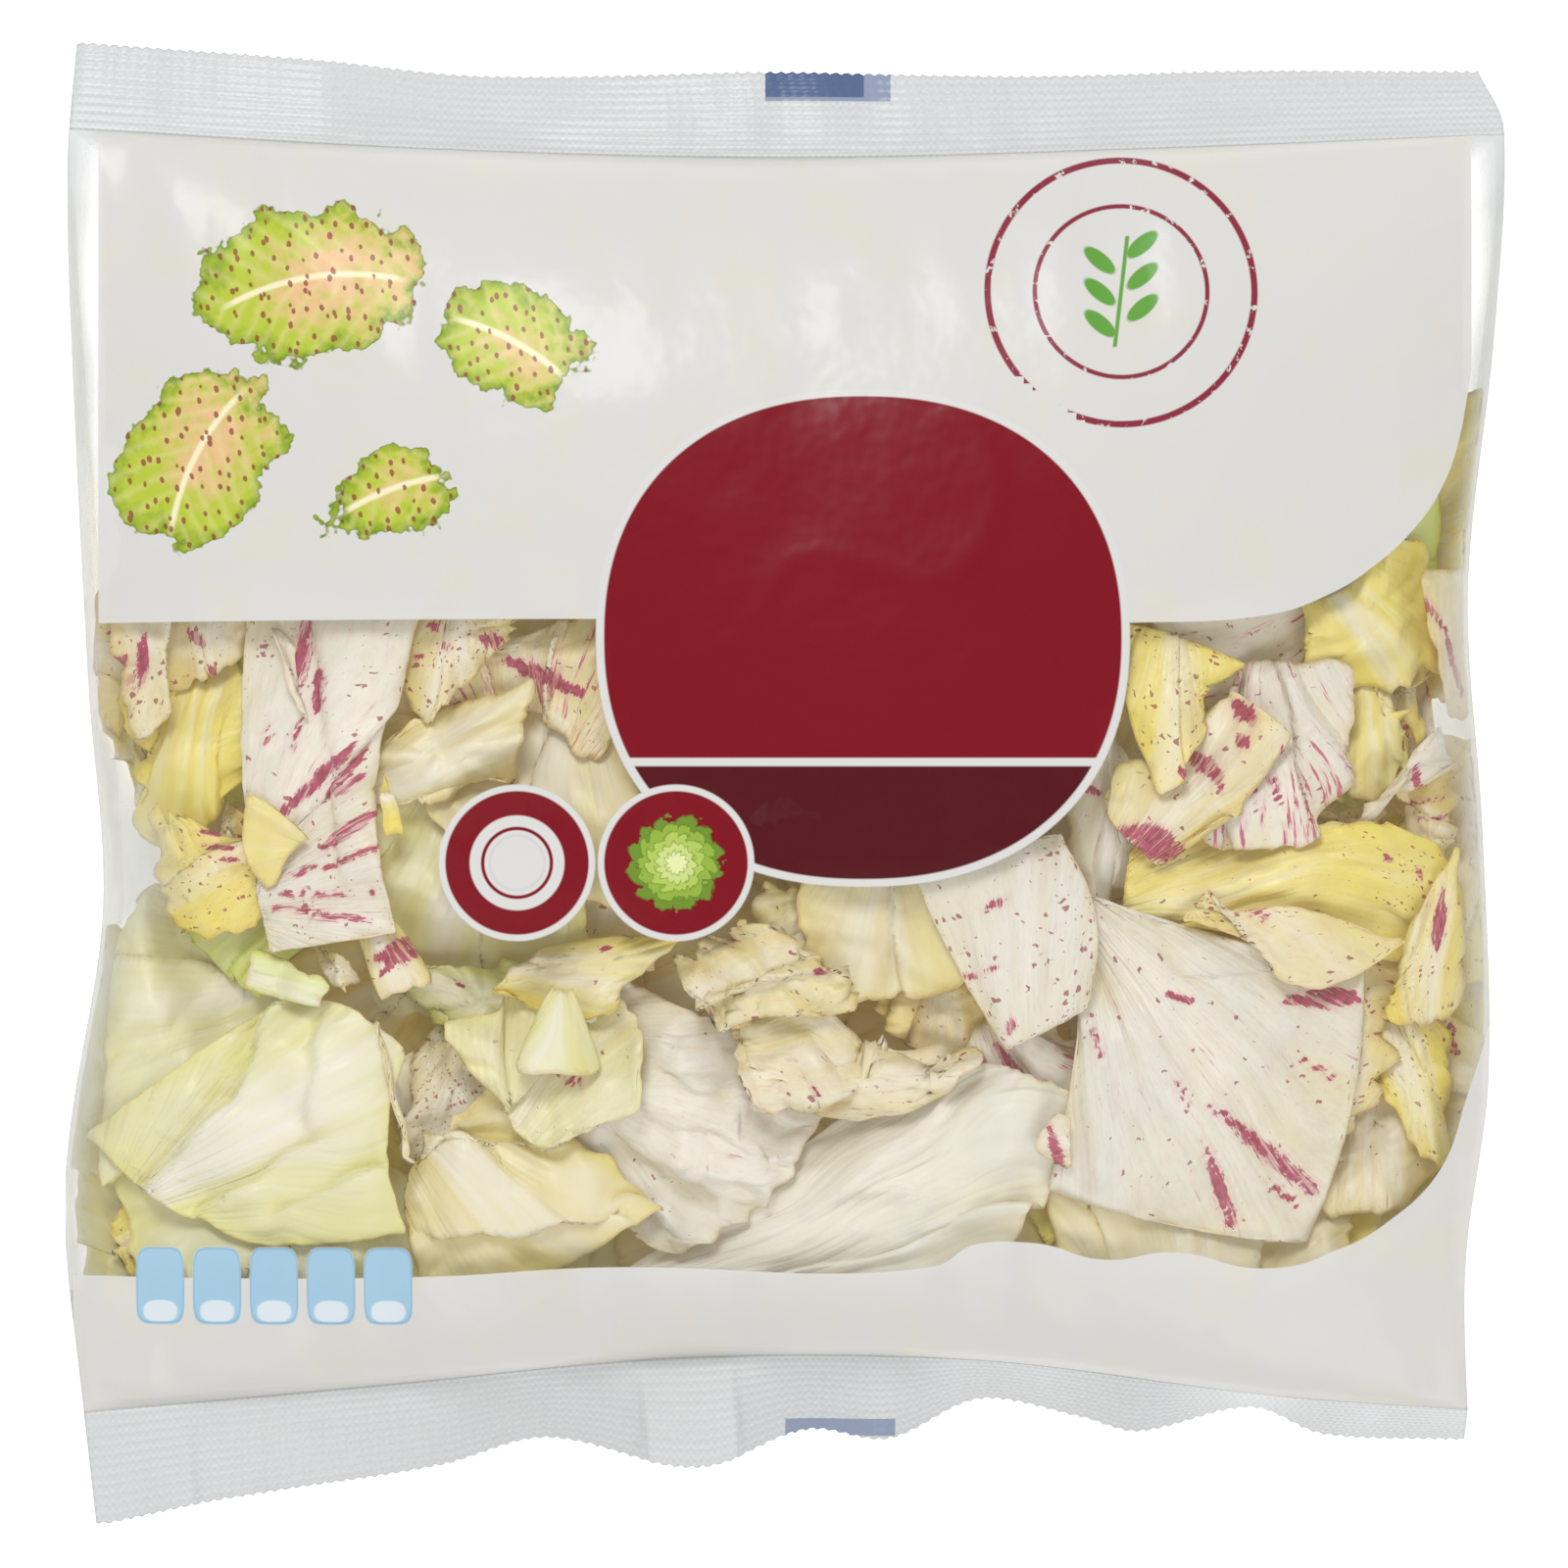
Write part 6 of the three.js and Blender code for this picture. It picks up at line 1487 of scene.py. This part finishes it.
lay_scraps(OVER)
for place, (name, spec) in enumerate(LEAVES.items()):
    if "rolled" in spec:
        grid = roll_grid(*spec["rolled"], stack)
    else:
        grid = grown(blade_grid("leaf_" + name), mix(GROWTH[0], GROWTH[1], min(1, place / GROWTH[2])))
    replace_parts(leaf_piece(name, grid, spec, next(seeds), stack), "leaf_" + name)
lay_scraps(UNDER)
for k, shows in enumerate(BACK_LEAVES):
    name = f"back_{k + 1}"
    grid = blade_grid("leaf_" + name)
    grid[..., 2] += BACK_ROOM
    shows = dict(shows, crumple=0.8, cell=BACK_CELL, rough=1.6)
    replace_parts(leaf_piece(name, grid, shows, next(seeds), inwards=1), "leaf_" + name)
for name, corners, tint, shows in BACK_SCRAPS:
    plan = patch_grid(corners, (1, 2, 1, 2))
    grid = np.dstack([plan, back_height(plan[..., 0], plan[..., 1]) + BACK_ROOM / 2])
    shows = dict(shows, tint=tint, crumple=0.3, ruffle=0.3, folds=0, cell=BACK_SCRAP_CELL)
    leaf_piece("scrap_" + name, grid, shows, next(seeds), inwards=1)

back_print = film_material("film_back", paint_back, clear=0.03, milky=0.55)
prints = [film_material(name, paint, clear=0.03, milky=0.55, crinkled=bool(paint)) for name, paint in FRONT]
crimp_film = film_material("film_crimp", paint_crimp, clear=0.55, milky=0.9, crinkled=True, knurled=True)
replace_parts(new_piece(film_pillow(), "film", *prints, back_print), "film_bag")
new_piece(crimp_strip("crimp_top", 1), "film", crimp_film)
new_piece(crimp_strip("crimp_bottom", -1), "film", crimp_film)
new_piece(lap_flap(), "film", back_print)

# ---------------------------------------------------------------- floor, light and camera


def floor():
    bpy.ops.mesh.primitive_plane_add(size=FLOOR_SIZE, location=(0, 0, FLOOR_HEIGHT))
    plane = bpy.context.object
    plane.name = "floor"
    g = Graph("floor")
    shader = g.node("BsdfPrincipled", {"Base Color": "#f4f4f4", "Roughness": 0.8,
                                       "Emission Color": (1, 1, 1, 1), "Emission Strength": FLOOR_GLOW})
    plane.data.materials.append(g.output(g.signal(shader)))


def area_light(name, location, size, power):
    """A round light that looks at the bag, in metres and watts."""
    light = bpy.data.lights.new(name, "AREA")
    light.shape, light.size, light.energy = "DISK", size, power
    lamp = bpy.data.objects.new(name, light)
    bpy.context.scene.collection.objects.link(lamp)
    lamp.location = location
    lamp.rotation_euler = (-lamp.location).to_track_quat("-Z", "Y").to_euler()


floor()
area_light("key", (-0.3, 1.25, 1.9), 0.8, 22)
area_light("fill", (0.4, -1.4, 1.6), 1.5, 12)
scene = bpy.context.scene
scene.world = scene.world or bpy.data.worlds.new("studio")
scene.world.use_nodes = True
sky = scene.world.node_tree.nodes["Background"]
sky.inputs["Color"].default_value = (1, 1, 1, 1)
sky.inputs["Strength"].default_value = SKY
scene.view_settings.view_transform = "Standard"

camera = bpy.data.cameras.new("camera")
camera.sensor_width = SENSOR
camera.lens = SENSOR * (CAMERA_HEIGHT - AIM_HEIGHT) * PIXELS_PER_MM / PHOTO_WIDTH
scene.camera = bpy.data.objects.new("camera", camera)
scene.collection.objects.link(scene.camera)
scene.camera.location = (0, 0, CAMERA_HEIGHT * MM)
